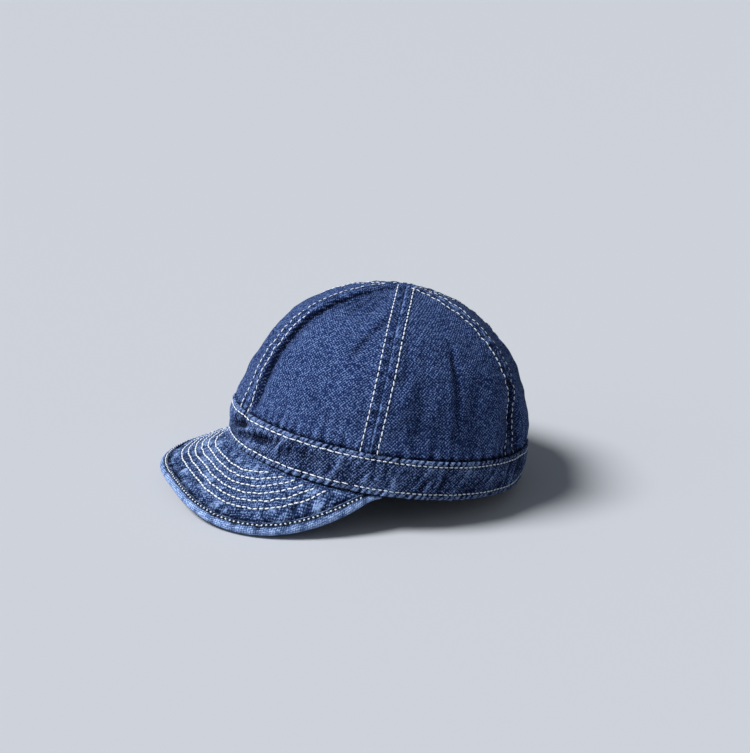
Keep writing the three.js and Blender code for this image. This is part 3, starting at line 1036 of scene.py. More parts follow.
@dataclass(frozen=True)
class DenimFinish:
    """Worn denim: dark warp over pale weft in a twill, paler where it is rubbed.

    Args:
        name: the material's name.
        deep, middle, pale: colours of unworn, common and worn cloth.
        tone: place of the common cloth between deep and pale.
        yarn: width of one yarn, in millimetres.
        slub: length of a thick place of a yarn, in widths of it.
        twill: width of one twill line, in millimetres.
        grain: how strongly single yarns differ.
        lines: how strongly the twill lines show.
        mottle: how strongly the fading varies over the cloth.
        mottle_size: width of a faded patch, in millimetres.
        wear: how much paler rubbed cloth is.
        shade: how much the mesh's painted shade lowers the tone.
        dimming: share of its colour that the cloth loses where the mesh's painted shade is full.
        depth: depth of the weave's relief, in millimetres.
        swell_size: width and length of the patches where the twill swells, in yarns.
        fade_length: length of a faded patch, in widths of it.
        lines_shift: how far the swelling and the slubs shift the two sets of twill lines.
        lines_share: share of either set of lines.
        lines_swell: how much the swelling and the crossings change the lines.
        lines_strength: strength of the lines where nothing changes them.
        weave_share: share of the slubs and of the crossings in the grain.
        relief_share: share of the lines and of the grain in the relief.
        middle_tone: tone at which the middle colour lies.
    """

    name: str
    deep: Colour
    middle: Colour
    pale: Colour
    tone: float = 0.45
    yarn: float = 0.62
    slub: float = 3.0
    twill: float = 1.45
    grain: float = 0.85
    lines: float = 0.54
    mottle: float = 0.03
    mottle_size: float = 12.0
    wear: float = 0.42
    shade: float = 0.25
    dimming: float = 0.68
    depth: float = 0.06
    swell_size: Pair = (2.2, 3.0)
    fade_length: float = 1.5
    lines_shift: Pair = (3.6, 3.0)
    lines_share: Pair = (0.6, 0.45)
    lines_swell: Pair = (1.2, 0.6)
    lines_strength: float = 0.7
    weave_share: Pair = (0.25, 0.4)
    relief_share: Pair = (0.6, 0.4)
    middle_tone: float = 0.45
    roughness: float = 0.92
    specular: float = 0.05

    def material(self) -> Material:
        """Builds the node material.

        The tone is the sum of the twill, of long slubs along the warp, of a random number for
        each crossing of yarns, of slow fading, of the mesh's wear and of its painted shade. The
        colour is then dimmed where the mesh holds painted shade. The twill is a sine along
        each diagonal of the weave, shifted and swelled at random so that its lines break up. The
        diagonals are those of a triangle whose sides are 3, 4 and 5.

        Returns:
            The material.
        """
        sheet = NodeSheet(self.name)
        place = sheet.weave_place()
        across, along = sheet.parts(place)
        crossings = sheet.cells(sheet.scaled(place, self.yarn, self.yarn))
        warp = sheet.noise(sheet.scaled(place, self.yarn, self.slub * self.yarn))
        swelling = sheet.noise(sheet.scaled(place, *(size * self.yarn for size in self.swell_size)))
        patch = self.mottle_size, self.fade_length * self.mottle_size
        fading = sheet.noise(sheet.scaled(place, *patch), detail=3.0)
        step = TURN / self.twill
        first = sheet.total((across, 0.8 * step), (along, -0.6 * step), (swelling, self.lines_shift[0]))
        second = sheet.total((across, 0.6 * step), (along, 0.8 * step), (warp, self.lines_shift[1]))
        sines = (sheet.math("SINE", turn) for turn in (first, second))
        lines = sheet.total(*zip(sines, self.lines_share))
        strength = sheet.total(*zip((swelling, crossings), self.lines_swell))
        twill = sheet.math("MULTIPLY", lines, sheet.math("ADD", strength, self.lines_strength))
        shares = (share * self.grain for share in self.weave_share)
        weave = sheet.total(*zip((warp, crossings), shares))
        # painted shade stored on the mesh: it lowers the tone and dims the colour in creases, grooves, dents
        # and shadows
        painted_shade = sheet.value("shaded")
        # wear from the mesh, less its painted shade
        worn = sheet.total((sheet.value("rubbed"), self.wear), (painted_shade, -self.shade))
        tone = sheet.total((weave, 1.0), (twill, self.lines), (fading, self.mottle), (worn, 1.0))
        tone = sheet.clamped("ADD", tone, self.tone)
        colour = sheet.colours(tone, (0.0, self.deep), (self.middle_tone, self.middle), (1.0, self.pale))
        sheet.bump(sheet.total(*zip((twill, weave), self.relief_share)), self.depth)
        # the colour is dimmed where the mesh holds painted shade
        return sheet.finish(sheet.dimmed(colour, painted_shade, self.dimming), self.roughness, self.specular)


@dataclass(frozen=True)
class ThreadFinish:
    """Thick cotton sewing thread, two-ply, with each stitch a little different in tone.

    Args:
        name: the material's name.
        dark, light: colours of the darkest and the palest thread.
        twist: length of one turn of a ply, in steps along a stitch.
        depth: depth of the plies' relief, in millimetres.
        ply_share, tone_share: how much the plies and each stitch's own tone change the tone.
        tone: tone of the common thread.
    """

    name: str
    dark: Colour
    light: Colour
    twist: float = 0.9
    depth: float = 0.08
    ply_share: float = 0.18
    tone_share: float = 0.5
    tone: float = 0.5
    roughness: float = 0.7
    specular: float = 0.3

    def material(self) -> Material:
        """Builds the node material: slanted ply lines from the place along and round the thread."""
        sheet = NodeSheet(self.name)
        around, along = sheet.parts(sheet.weave_place())
        ply = sheet.math("SINE", sheet.total((around, TURN), (along, TURN / self.twist)))
        tone = sheet.total((ply, self.ply_share), (sheet.value("tone"), self.tone_share))
        tone = sheet.clamped("ADD", tone, self.tone)
        sheet.bump(ply, self.depth)
        colour = sheet.colours(tone, (0.0, self.dark), (1.0, self.light))
        return sheet.finish(colour, self.roughness, self.specular)


CROWN_DENIM = DenimFinish(
    "crown denim",
    (0.003, 0.008, 0.042),
    (0.014, 0.031, 0.115),
    (0.165, 0.257, 0.49),
    grain=0.76,
    lines=0.5,
)
BAND_DENIM = DenimFinish(
    "band denim",
    (0.003, 0.007, 0.032),
    (0.012, 0.026, 0.092),
    (0.21, 0.31, 0.57),
    lines=0.45,
    mottle=0.2,
    wear=0.55,
)
BRIM_DENIM = DenimFinish(
    "brim denim",
    (0.003, 0.009, 0.038),
    (0.022, 0.046, 0.14),
    (0.245, 0.36, 0.62),
    lines=0.35,
    mottle=0.5,
    mottle_size=3.0,
    wear=0.5,
)
TAPE_DENIM = DenimFinish(
    "pale binding",
    (0.025, 0.05, 0.135),
    (0.118, 0.208, 0.455),
    (0.48, 0.62, 0.90),
    grain=0.7,
    lines=0.55,
    twill=1.3,
    shade=0.5,
    dimming=0.85,
)
REVERSE_DENIM = DenimFinish(
    "denim reverse",
    (0.08, 0.12, 0.21),
    (0.24, 0.30, 0.41),
    (0.60, 0.65, 0.73),
    lines=0.4,
)
THREAD = ThreadFinish("off-white thread", (0.66, 0.75, 0.92), (0.88, 0.94, 1.0))


@dataclass(frozen=True)
class StitchStyle:
    """Size of one kind of stitch, in millimetres.

    Args:
        pitch: distance from one stitch to the next.
        length, width, thickness: size of its thread.
        arch: how far its middle stands over its ends.
        sink: how deep its ends lie in the cloth.
        wander: how far its ends stray from the row.
        jitter: how unevenly it is spaced, and the share by which its length varies.
    """

    pitch: float
    length: float
    width: float = 0.82
    thickness: float = 0.62
    arch: float = 0.26
    sink: float = 0.02
    wander: float = 0.1
    jitter: float = 0.05


@dataclass
class Needlework:
    """Rows of stitches that become one joined mesh.

    Args:
        name: the piece's name.
        seed: seed of the draw.
        rows: path, normals and style of each row.
        rings: places of a stitch's rings along its half-length.
        sides: points of a ring.
        look_ahead: distance over which the path's direction is taken, in millimetres.
        stray_share: how far a whole stitch strays from the row, as a share of its wander.
        tones: lowest and highest tone of a stitch.
    """

    name: str
    seed: int
    rows: list[tuple[Array, Array, StitchStyle]] = field(default_factory=list)
    rings: tuple[float, ...] = (-0.86, -0.42, 0.42, 0.86)
    sides: int = 6
    look_ahead: float = 0.3
    stray_share: float = 0.4
    tones: Span = (-0.4, 1.0)

    def add(self, path: Array, normals: Array, style: StitchStyle) -> None:
        """Adds a row that follows a path over the cloth, unless all of the row is hidden."""
        if len(path) > 2:
            self.rows.append((path, normals, style))

    def row_points(self, row: tuple[Array, Array, StitchStyle], draw: np.random.Generator) -> Array:
        """Vertices of each stitch of a row, as stitches by vertices by 3.

        Each stitch is a capsule whose middle arches over the cloth and whose ends dip into it. Its
        rings lie along the path, so a stitch bends with the row.
        """
        path, normals, style = row
        steps = np.linalg.norm(np.diff(path, axis=0), axis=1)
        length = np.concatenate([[0.0], np.cumsum(steps)])
        count = max(int((length[-1] - style.length) / style.pitch) + 1, 1)
        centre = style.length / 2.0 + style.pitch * np.arange(count) + draw.normal(0.0, style.jitter, count)
        share = np.array([-1.0, *self.rings, 1.0])
        half = style.length / 2.0 * (1.0 + draw.normal(0.0, style.jitter, count))
        along = np.clip(centre[:, None] + half[:, None] * share, 0.0, length[-1])
        middle = self.between(along, length, path)
        step = self.look_ahead
        ahead = self.between(along + step, length, path) - self.between(along - step, length, path)
        ahead /= np.linalg.norm(ahead, axis=-1, keepdims=True)
        up = self.between(along, length, normals)
        aside = np.cross(up, ahead)
        aside /= np.linalg.norm(aside, axis=-1, keepdims=True)
        slant = draw.normal(0.0, style.wander, count)[:, None] * share
        slant = slant + draw.normal(0.0, self.stray_share * style.wander, (count, 1))
        height = style.arch * (1.0 - share**2) - style.sink
        spine = middle + aside * slant[..., None] + up * height[None, :, None]
        turn = TURN * np.arange(self.sides) / self.sides
        round_off = np.sqrt(1.0 - np.abs(share[1:-1]) ** 3)[None, :, None, None]
        wide = style.width / 2.0 * round_off * np.cos(turn)[:, None]
        tall = style.thickness / 2.0 * round_off * np.sin(turn)[:, None]
        rings = spine[:, 1:-1, None] + aside[:, 1:-1, None] * wide + up[:, 1:-1, None] * tall
        return np.concatenate([spine[:, [0, -1]], rings.reshape(count, -1, 3)], axis=1)

    @staticmethod
    def between(along: Array, length: Array, values: Array) -> Array:
        """Values at distances along a path, by straight lines between its points."""
        return np.stack([np.interp(along, length, column) for column in values.T], axis=-1)

    def stitch_faces(self) -> tuple[Array, Array]:
        """Faces of one stitch: quads between its rings, and triangles to its two ends."""
        ring = np.arange(len(self.rings) - 1)[:, None] * self.sides + 2
        side = np.arange(self.sides)
        beside = (side + 1) % self.sides
        after = ring + self.sides
        quads = np.stack([ring + side, ring + beside, after + beside, after + side], axis=-1)
        last = 2 + (len(self.rings) - 1) * self.sides
        first = np.stack([np.zeros(self.sides, int), 2 + beside, 2 + side], axis=-1)
        final = np.stack([np.ones(self.sides, int), last + side, last + beside], axis=-1)
        return quads.reshape(-1, 4), np.concatenate([first, final])

    def finish(self, thread: Material) -> None:
        """Makes all the rows one mesh, gives each stitch its own tone and settles the piece."""
        draw = np.random.default_rng(self.seed)
        stitches = np.concatenate([self.row_points(row, draw) for row in self.rows])
        count, size = stitches.shape[:2]
        quads, triangles = self.stitch_faces()
        start = (size * np.arange(count))[:, None, None]
        faces = (quads + start).reshape(-1, 4).tolist() + (triangles + start).reshape(-1, 3).tolist()
        points = RESTING.place(stitches).reshape(-1, 3)
        if signed_volume(points, faces) < 0:
            faces = [face[::-1] for face in faces]
        rings = len(self.rings)
        around = np.concatenate([[0.0, 0.0], np.tile(np.arange(self.sides) / self.sides, rings)])
        along = np.concatenate([[-1.0, rings], np.repeat(np.arange(rings), self.sides)])
        plan = np.tile(np.stack([around, along], axis=-1), (count, 1))
        tone = np.repeat(draw.uniform(*self.tones, count), size)
        piece = mesh_piece(self.name, points, faces, plan, {"tone": tone})
        piece.data.materials.append(thread)
        settle_piece(piece, Slot.THREAD)


class Slot(Enum):
    """Names of the material slots that the pieces are logged under."""

    CROWN = "crown_denim"
    BAND = "band_denim"
    BRIM = "brim_denim"
    TAPE = "binding_twill"
    THREAD = "thread"


def settle_piece(piece: Piece, slot: Slot, *nodes: str) -> None:
    """Ties a piece to the body, hides the nodes that it stands for, and logs its triangles and slot."""
    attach(piece, BODY)
    if nodes:
        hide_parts(*nodes)
    piece.data.calc_loop_triangles()
    log.info("%s: %d triangles, %s", piece.name, len(piece.data.loop_triangles), slot.value)


@dataclass(frozen=True)
class SunkStretch:
    """A stretch of one row of stitches, beside one seam, that lies deeper in the cloth.

    Args:
        seam: angle of the seam, in degrees.
        side: side of the seam, -1 or 1.
        low, high: rows of the outline where the stretch begins and ends.
        depth: how deep it lies, in millimetres.
    """

    seam: float
    side: float
    low: float
    high: float
    depth: float


@dataclass
class Crown:
    """Six cloth panels, with their wear, and the two rows of stitches beside each seam."""

    places: tuple[str, ...] = (
        "front_left", "side_left", "back_left", "back_right", "side_right", "front_right"
    )
    columns: int = 121
    rows: int = 181
    crowding: float = 0.55
    # Wear, and painted shade: in the stitch grooves, on the strips, in the valleys, and a painted shadow
    # above the band
    blobs: Ripples = Ripples(4.0, 9.0, 21, (1.0, 5.0))
    blob_edge: Span = (-0.4, 0.4)
    join_wear: float = 1.6
    crest_wear: float = 0.95
    strip_wear: Line = Line(5.8, 0.6, 0.15)
    # painted shade in the stitch grooves, on the strips and in the pucker valleys
    groove_shade: Line = Line(5.0, 0.85, 0.55)
    strip_shade: Line = Line(2.4, 1.2)
    strip_halves: Pair = (0.3, 0.6)
    valley_shade: float = 0.6
    # painted shadow on the crown just above the band's top edge
    hem_shade: Line = Line(0.3, 1.2, 0.9)
    # Stitches: the rows of the outline that they run over, and how near they come to the long seam
    stitch: StitchStyle = StitchStyle(pitch=3.8, length=3.1)
    stitched_from: float = 0.95
    stitched_to: float = 6.98
    row_points: int = 500
    long_seams: Pair = (0.0, 180.0)
    crossing: float = 5.7
    near_crossing: float = 1.6
    near_seams_to: float = 90.0
    drawn_in: float = 2.3
    drawn_in_from: Span = (1.2, 2.8)
    sunk: tuple[SunkStretch, ...] = (
        SunkStretch(0.0, 1.0, 4.2, 8.0, 0.6),
        SunkStretch(124.0, -1.0, 0.0, 3.6, 0.3),
        SunkStretch(124.0, 1.0, 0.0, 5.6, 0.3),
    )

    def panel(self, place: str, seams: Span, finishes: Finishes) -> None:
        """Builds one gore from the crown's surface between its two seams.

        Args:
            place: the gore's place, as the names of its piece and its node give it.
            seams: angles of its two seams, in degrees.
            finishes: the crown's materials.
        """
        start, end = np.radians(seams)
        across = start + (end - start) * crowded(self.columns, self.crowding)
        up = CROWN_FORM.top * np.linspace(0.0, 1.0, self.rows)
        theta, row = np.broadcast_arrays(across[None, :], up[:, None])
        details = CROWN_FORM.details(theta, row, start, end)
        sunk = CROWN_FORM.sunk(theta, row, start, end)
        base, normal = CROWN_FORM.base(theta, row), CROWN_FORM.normal(theta, row)
        outer = base + normal * (details["relief"] - sunk)[..., None]
        inner = base - normal * (CROWN_FORM.wall + sunk - details["drift"])[..., None]
        radius = np.linalg.norm(base[..., :2], axis=-1)
        weave = np.stack([(theta - (start + end) / 2.0) * radius, details["climb"]], axis=-1)
        wall = ClothWall(outer, inner[:, ::INNER_THINNING], weave, *self.wear(details))
        settle_piece(wall.make(f"panel_{place}", finishes), Slot.CROWN, f"crown_{place}")

    def wear(self, details: dict[str, Array]) -> tuple[Array, Array]:
        """Worn cloth and painted shade: pale blobs along the joins and crests; painted shade in the grooves,
        on the strips and in the valleys, and a painted shadow above the band.
        """
        nearest, pucker, painted_shade = (details[key] for key in ("nearest", "pucker", "painted_shade"))
        blobs = ramp(self.blobs.at(details["climb"], nearest), *self.blob_edge)
        rubbed = self.join_wear * details["join"] * blobs + self.crest_wear * np.maximum(pucker, 0.0)
        rubbed = rubbed + self.strip_wear.at(nearest) - painted_shade
        strip = self.strip_shade.at(nearest) * np.where(details["turned"], *self.strip_halves)
        shaded = self.groove_shade.at(nearest) + strip * (1.0 - blobs)
        # painted shade of the folds and painted shadow above the band
        shaded = shaded + self.hem_shade.at(details["above_band"]) + np.maximum(painted_shade, 0.0)
        return rubbed, shaded + self.valley_shade * np.maximum(-pucker, 0.0)

    def stitch_row(self, seam: float, side: float) -> tuple[Array, Array]:
        """Angles and rows of the outline where one row of stitches runs.

        It lies where the distance round the crown, times the sine of the angle from the seam,
        equals the offset of the stitches. It goes over the top beside the long seam and up to the
        long seam beside the others. The row beside the crease along the front seam is drawn in
        towards the seam.

        Args:
            seam: angle of the seam, in degrees.
            side: side of the seam, -1 or 1.
        """
        centre = np.radians(seam)
        row = np.linspace(self.stitched_from, self.stitched_to, self.row_points)
        spread = CROWN_FORM.spread(centre, row)
        drawn = self.drawn_in * ramp(row, *self.drawn_in_from) * (seam == 0.0 and side > 0.0)
        offset = CROWN_FORM.stitch_offset - drawn
        wide = spread > CROWN_FORM.stitch_offset
        row, offset, spread = row[wide], offset[wide], spread[wide]
        theta = centre + side * np.arcsin(offset / spread)
        if seam in self.long_seams:
            return theta, row
        crossing = self.near_crossing if seam < self.near_seams_to else self.crossing
        clear = np.abs(CROWN_FORM.column("side", row) * np.sin(theta)) > crossing
        return theta[clear], row[clear]

    def sink(self, seam: float, side: float, row: Array) -> Array:
        """How deep a row of stitches lies in the cloth, rising and falling over one row of the outline."""
        depth = np.zeros_like(row)
        for part in self.sunk:
            if (part.seam, part.side) == (seam, side):
                ended = ramp(row, part.high - 1.0, part.high)
                depth += part.depth * ramp(row, part.low, part.low + 1.0) * (1.0 - ended)
        return depth

    def build(self, finishes: Finishes) -> None:
        """Builds the panels and sews two rows beside each seam."""
        seams = CROWN_FORM.seams
        for place, first, last in zip(self.places, seams[:-1], seams[1:]):
            self.panel(place, (first, last), finishes)
        work = Needlework("crown_stitches", 31)
        for seam in seams[:-1]:
            for side in (-1.0, 1.0):
                theta, row = self.stitch_row(seam, side)
                normal = CROWN_FORM.normal(theta, row)
                sink = self.sink(seam, side, row)
                work.add(CROWN_FORM.surface(theta, row) - normal * sink[:, None], normal, self.stitch)
        work.finish(finishes.thread)


@dataclass
class Band:
    """The wide band, with rolled worn edges and two rows of stitches."""

    stations: int = 1000
    edge_points: int = 5
    face_steps: int = 38
    face_from: float = 0.6
    # Relief: rows of stitches, puckers between them, streaks, and rope-like folded edges
    rows: Pair = (3.5, 21.1)
    groove: float = 0.35
    groove_width: float = 0.65
    waves: RoundRipples = RoundRipples(40, 120, 41, slant=0.3)
    pucker: float = 0.24
    held: float = 0.75
    held_width: float = 1.6
    streaks: Ripples = Ripples(14.0, 34.0, 42)
    streak: float = 0.25
    twist: RoundRipples = RoundRipples(110, 200, 43, slant=0.7, spread=0.1)
    rope: float = 0.25
    upper_rope: Span = (21.5, 22.5)
    lower_rope: Span = (1.9, 3.1)
    tuck: float = 1.0
    tuck_from: float = 18.0
    # Wear, and painted shade beside the stitches, between the dashes, in the valleys and dents and over the
    # back
    dash_edge: Span = (-0.5, 0.8)
    plain_wear: float = 0.2
    dash_wear: float = 1.2
    upper_wear: Line = Line(23.1, 1.1)
    lower_wear: Line = Line(1.4, 1.3, 1.3)
    lower_dashes: Line = Line(1.4, 1.5, 0.6)
    crest_wear: float = 0.9
    ridge_wear: float = 0.7
    hatching: RoundRipples = RoundRipples(190, 380, 45, slant=0.85, spread=0.12)
    hatching_edge: Span = (0.5, 1.7)
    patches: RoundRipples = RoundRipples(18, 60, 46, slant=0.5)
    patch_edge: Span = (-0.4, 1.0)
    hatching_wear: float = 0.5
    # painted shade: dark lines beside the rows, between the pale dashes, in the valleys and in the dents
    row_shade: float = 0.6
    row_shade_width: float = 0.9
    gap_shade: float = 0.45
    valley_shade: float = 0.8
    dent_shade: float = 0.4
    # painted shade over the back of the band, where it turns from the light
    rear_shade: float = 0.3
    rear_from: Span = (65.0, 105.0)
    # Stitches, which are longer along the front
    row_points: int = 1600
    front_to: float = 57.0
    front_stitch: StitchStyle = StitchStyle(pitch=4.9, length=4.45, width=0.85)
    stitch: StitchStyle = StitchStyle(pitch=3.5, length=2.75, width=0.85)

    def section(self) -> tuple[Array, Array, Array, Array]:
        """Height and inset of the section's outer and inner points.

        The outer line starts in the middle of the lower edge, goes round it by a quarter circle,
        up the face, and round the upper edge to its middle. The inner line goes up the reverse.
        """
        edge, tall, wall = BAND_FORM.edge, BAND_FORM.height, BAND_FORM.wall
        quarter = np.linspace(np.pi / 2, 0.0, self.edge_points)
        low_height, low_inset = edge - edge * np.sin(quarter), edge - edge * np.cos(quarter)
        face = np.linspace(edge, tall - edge, self.face_steps + 1)[1:-1]
        heights = np.concatenate([[0.0], low_height, face, tall - low_height[::-1], [tall]])
        insets = np.concatenate([[wall / 2], low_inset, np.zeros_like(face), low_inset[::-1], [wall / 2]])
        inner_heights = np.linspace(0.0, tall, (len(heights) - 1) // INNER_THINNING + 1)
        inner_insets = np.full_like(inner_heights, wall)
        inner_insets[[0, -1]] = wall - edge / 2
        return heights, insets, inner_heights, inner_insets

    def beside_rows(self, height: Array, width: float) -> Array:
        """Bell across each of the two rows of stitches."""
        return sum(bell(height - row, width) for row in self.rows)

    def relief(self, theta: Array, height: Array) -> tuple[Array, Array]:
        """Grooves at the stitches and puckers between them, with the puckers alone beside it.

        The puckers are slanted waves that both rows of stitches hold down. Outside the rows the
        folded edges are twisted like a rope, with shorter waves.
        """
        held = 1.0 - self.held * self.beside_rows(height, self.held_width)
        outside = ramp(height, *self.upper_rope) + 1.0 - ramp(height, *self.lower_rope)
        x, y = BAND_FORM.foot(theta)
        pucker = self.pucker * self.waves.at(theta, height) * held
        pucker = pucker + self.rope * self.twist.at(theta, height) * outside
        pucker = pucker + self.streak * self.streaks.at(x, -y, height)
        return pucker - self.groove * self.beside_rows(height, self.groove_width), pucker

    def tucked(self, height: Array, inset: Array) -> Array:
        """Insets where the upper edge is pressed thin against the crown."""
        thinner = self.tuck * ramp(height, self.tuck_from, BAND_FORM.height)
        return inset + thinner * (1.0 - inset / BAND_FORM.wall)

    def wear(self, theta: Array, height: Array, pucker: Array) -> tuple[Array, Array]:
        """Pale dashes along both edges and on crests, dark lines beside the stitches and in the dents.

        The back of the band is painted darker than its front, as painted shade where it turns from the
        light.
        """
        dashes = ramp(self.twist.at(theta, height), *self.dash_edge)
        hatching = ramp(self.hatching.at(theta, height), *self.hatching_edge)
        patches = ramp(self.patches.at(theta, height), *self.patch_edge)
        edges = self.upper_wear.at(height) + self.lower_wear.at(height)
        dent = BAND_FORM.dent(theta, height)
        rubbed = edges * (self.plain_wear + self.dash_wear * dashes) + self.lower_dashes.at(height) * dashes
        rubbed = rubbed + self.crest_wear * np.maximum(pucker, 0.0) + self.hatching_wear * hatching * patches
        rubbed = rubbed + self.ridge_wear * np.maximum(-dent, 0.0)
        # painted shade: darker towards the back of the band
        rear = ramp(np.abs(turn_between(theta, 0.0)), *np.radians(self.rear_from))
        shaded = self.row_shade * self.beside_rows(height, self.row_shade_width) + self.rear_shade * rear
        shaded = shaded + self.gap_shade * edges * (1.0 - dashes) + self.dent_shade * dent
        return rubbed, shaded + self.valley_shade * np.maximum(-pucker, 0.0)

    def build(self, finishes: Finishes) -> None:
        """Carries the section round the head and sews its two rows."""
        height, inset, inner_height, inner_inset = self.section()
        theta = TURN * np.arange(self.stations)[:, None] / self.stations
        relief, pucker = self.relief(theta, height)
        on_face = ramp(BAND_FORM.wall / 2 - inset, 0.0, self.face_from)
        outer = BAND_FORM.point(theta, height, self.tucked(height, inset) - relief * on_face)
        inner = BAND_FORM.point(theta, inner_height, self.tucked(inner_height, inner_inset))
        weave = np.stack(np.broadcast_arrays(theta * BAND_FORM.side, height), axis=-1)
        wall = ClothWall(outer, inner, weave, *self.wear(theta, height, pucker), ring=True)
        settle_piece(wall.make("band_cloth", finishes), Slot.BAND, "band")
        work = Needlework("band_stitches", 44)
        front = np.radians(self.front_to)
        for start, end, style in ((-front, front, self.front_stitch), (front, TURN - front, self.stitch)):
            theta = np.linspace(start, end, self.row_points)
            for row in self.rows:
                height = np.full_like(theta, row)
                lift = self.relief(theta, height)[0]
                path = BAND_FORM.point(theta, height, self.tucked(height, np.zeros_like(theta)) - lift)
                work.add(path, BAND_FORM.normal(theta), style)
        work.finish(finishes.thread)


@dataclass
class Brim:
    """Two plies sewn together by rows of stitches that follow the brim's edge."""

    stations: int = 341
    columns: int = 97
    crowding: float = 0.45
    row_count: int = 6
    first_row: float = 13.2
    row_pitch: float = 3.74
    seeds: tuple[int, int] = (51, 61)
    # Relief: grooves, puckers between the rows and outside them, and slack
    groove: float = 0.3
    groove_width: float = 0.62
    fan_middle: float = 30.0
    fan_radius: float = 92.0
    quilting: float = 0.24
    quilting_at_rows: float = 0.25
    border: float = 0.42
    border_blend: float = 1.5
    broad_swell: float = 0.2
    most_relief: float = 0.8
    free_from: Span = (0.3, 3.0)
    # Wear, and painted shade at the rows and in the valleys, with a painted shadow beside the binding
    crest_wear: float = 0.9
    blotches: float = 0.06
    # painted shade at the rows and in the pucker valleys
    row_shade: float = 0.5
    row_shade_width: float = 0.8
    valley_shade: float = 0.5
    # painted shadow on the brim beside the binding
    tape_shade: Line = Line(5.7, 1.0, 0.8)
    # Stitches
    wobble: float = 0.14
    row_points: int = 1200
    point_spacing: float = 0.18
    stitch: StitchStyle = StitchStyle(pitch=3.5, length=3.1, width=1.1, thickness=0.7)
    stitched_from: float = 0.7

    def at_rows(self, inset: Array, width: float) -> Array:
        """Bell across each row of stitches, by the distance in from the outline."""
        rows = self.first_row + self.row_pitch * np.arange(self.row_count)
        return sum(bell(inset - row, width) for row in rows)

    def relief(self, theta: Array, out: Array, seed: int) -> tuple[Array, Array]:
        """Grooves under the rows and puckers between them, which fade out towards the band.

        Puckers are ripples that are short along the rows and long across them. A sine across
        the rows holds them down at each row, and outside the rows they swell.

        Returns:
            The height over the plain face, and the puckers alone.
        """
        x, y = BRIM_FORM.plan(theta, out)
        inset = BRIM_FORM.inset(x, y, BRIM_FORM.row_squareness)
        along = np.arctan2(x - BRIM_FORM.sway, BRIM_FORM.middle_y + self.fan_middle - y) * self.fan_radius
        first, last = self.first_row, self.first_row + self.row_pitch * (self.row_count - 1)
        begun = ramp(inset, first - self.border_blend, first)
        inside = begun * (1.0 - ramp(inset, last, last + self.border_blend))
        arch = np.abs(np.sin(np.pi * (inset - first) / self.row_pitch))
        quilted = self.quilting * (self.quilting_at_rows + (1.0 - self.quilting_at_rows) * arch)
        swell = inside * quilted + (1.0 - inside) * self.border
        pucker = swell * Ripples(3.2, 7.5, seed, (1.0, 2.2), waves=32).at(along, inset)
        pucker = pucker + self.broad_swell * Ripples(16.0, 34.0, seed + 1).at(x, y)
        relief = limited(pucker - self.groove * self.at_rows(inset, self.groove_width), self.most_relief)
        free = ramp(out, *self.free_from)
        return relief * free, pucker * free

    def wear(self, x: Array, y: Array, pucker: Array, seed: int) -> tuple[Array, Array]:
        """Pale crests and dark valleys, a dark line at each row and beside the binding."""
        blotches = self.blotches * Ripples(6.0, 18.0, seed + 2).at(x, y)
        rubbed = self.crest_wear * np.maximum(pucker, 0.0) + np.maximum(blotches, 0.0)
        lines = self.at_rows(BRIM_FORM.inset(x, y, BRIM_FORM.row_squareness), self.row_shade_width)
        shaded = self.row_shade * lines + self.valley_shade * np.maximum(-pucker, 0.0)
        # painted shadow beside the binding
        beside_tape = self.tape_shade.at(BRIM_FORM.inset(x, y, BRIM_FORM.squareness))
        return rubbed, shaded + np.maximum(-blotches, 0.0) + beside_tape

    @staticmethod
    def right_side(upper: bool, relief: Array) -> Array:
        """Depth of a ply's right side under the plain upper face: that of the upper or lower ply."""
        return -relief if upper else 2.0 * BRIM_FORM.ply + BRIM_FORM.gap + relief

    def ply(self, name: str, node: str, seed: int, upper: bool, finishes: Finishes) -> None:
        """Builds one ply from the band's inner side out to where the binding holds it."""
        form = BRIM_FORM
        theta = form.stations(form.tip, self.stations, self.crowding)[:, None]
        far = form.reach(theta) - form.edge / form.slant(theta)
        out = form.root + (far - form.root) * np.linspace(0.0, 1.0, self.columns)
        relief, pucker = self.relief(theta, out, seed)
        outer = form.point(theta, out, self.right_side(upper, relief))
        inner = form.point(theta, out, form.ply if upper else form.ply + form.gap)
        x, y = form.plan(theta, out)
        wear = self.wear(x, y, pucker, seed)
        wall = ClothWall(outer, inner[:, ::INNER_THINNING], np.stack([x, y], axis=-1), *wear)
        settle_piece(wall.make(name, finishes), Slot.BRIM, node)

    def build(self, finishes: Finishes) -> None:
        """Builds both plies, and sews the rows on both sides from one end to the other."""
        self.ply("brim_upper_cloth", "brim_top", self.seeds[0], True, finishes)
        self.ply("brim_lower_cloth", "brim_underside", self.seeds[1], False, finishes)
        work = Needlework("brim_stitches", 55)
        places = np.arange(self.row_points) * self.point_spacing
        for number in range(self.row_count):
            sway = self.wobble * Ripples(9.0, 30.0, 56 + number).at(places)
            theta, out = BRIM_FORM.stitch_row(self.first_row + self.row_pitch * number + sway)
            shown = out > self.stitched_from
            theta, out = theta[shown], out[shown]
            up = BRIM_FORM.normal(theta, out)
            for upper, seed in zip((True, False), self.seeds):
                depth = self.right_side(upper, self.relief(theta, out, seed)[0])
                work.add(BRIM_FORM.point(theta, out, depth), up if upper else -up, self.stitch)
        work.finish(finishes.thread)


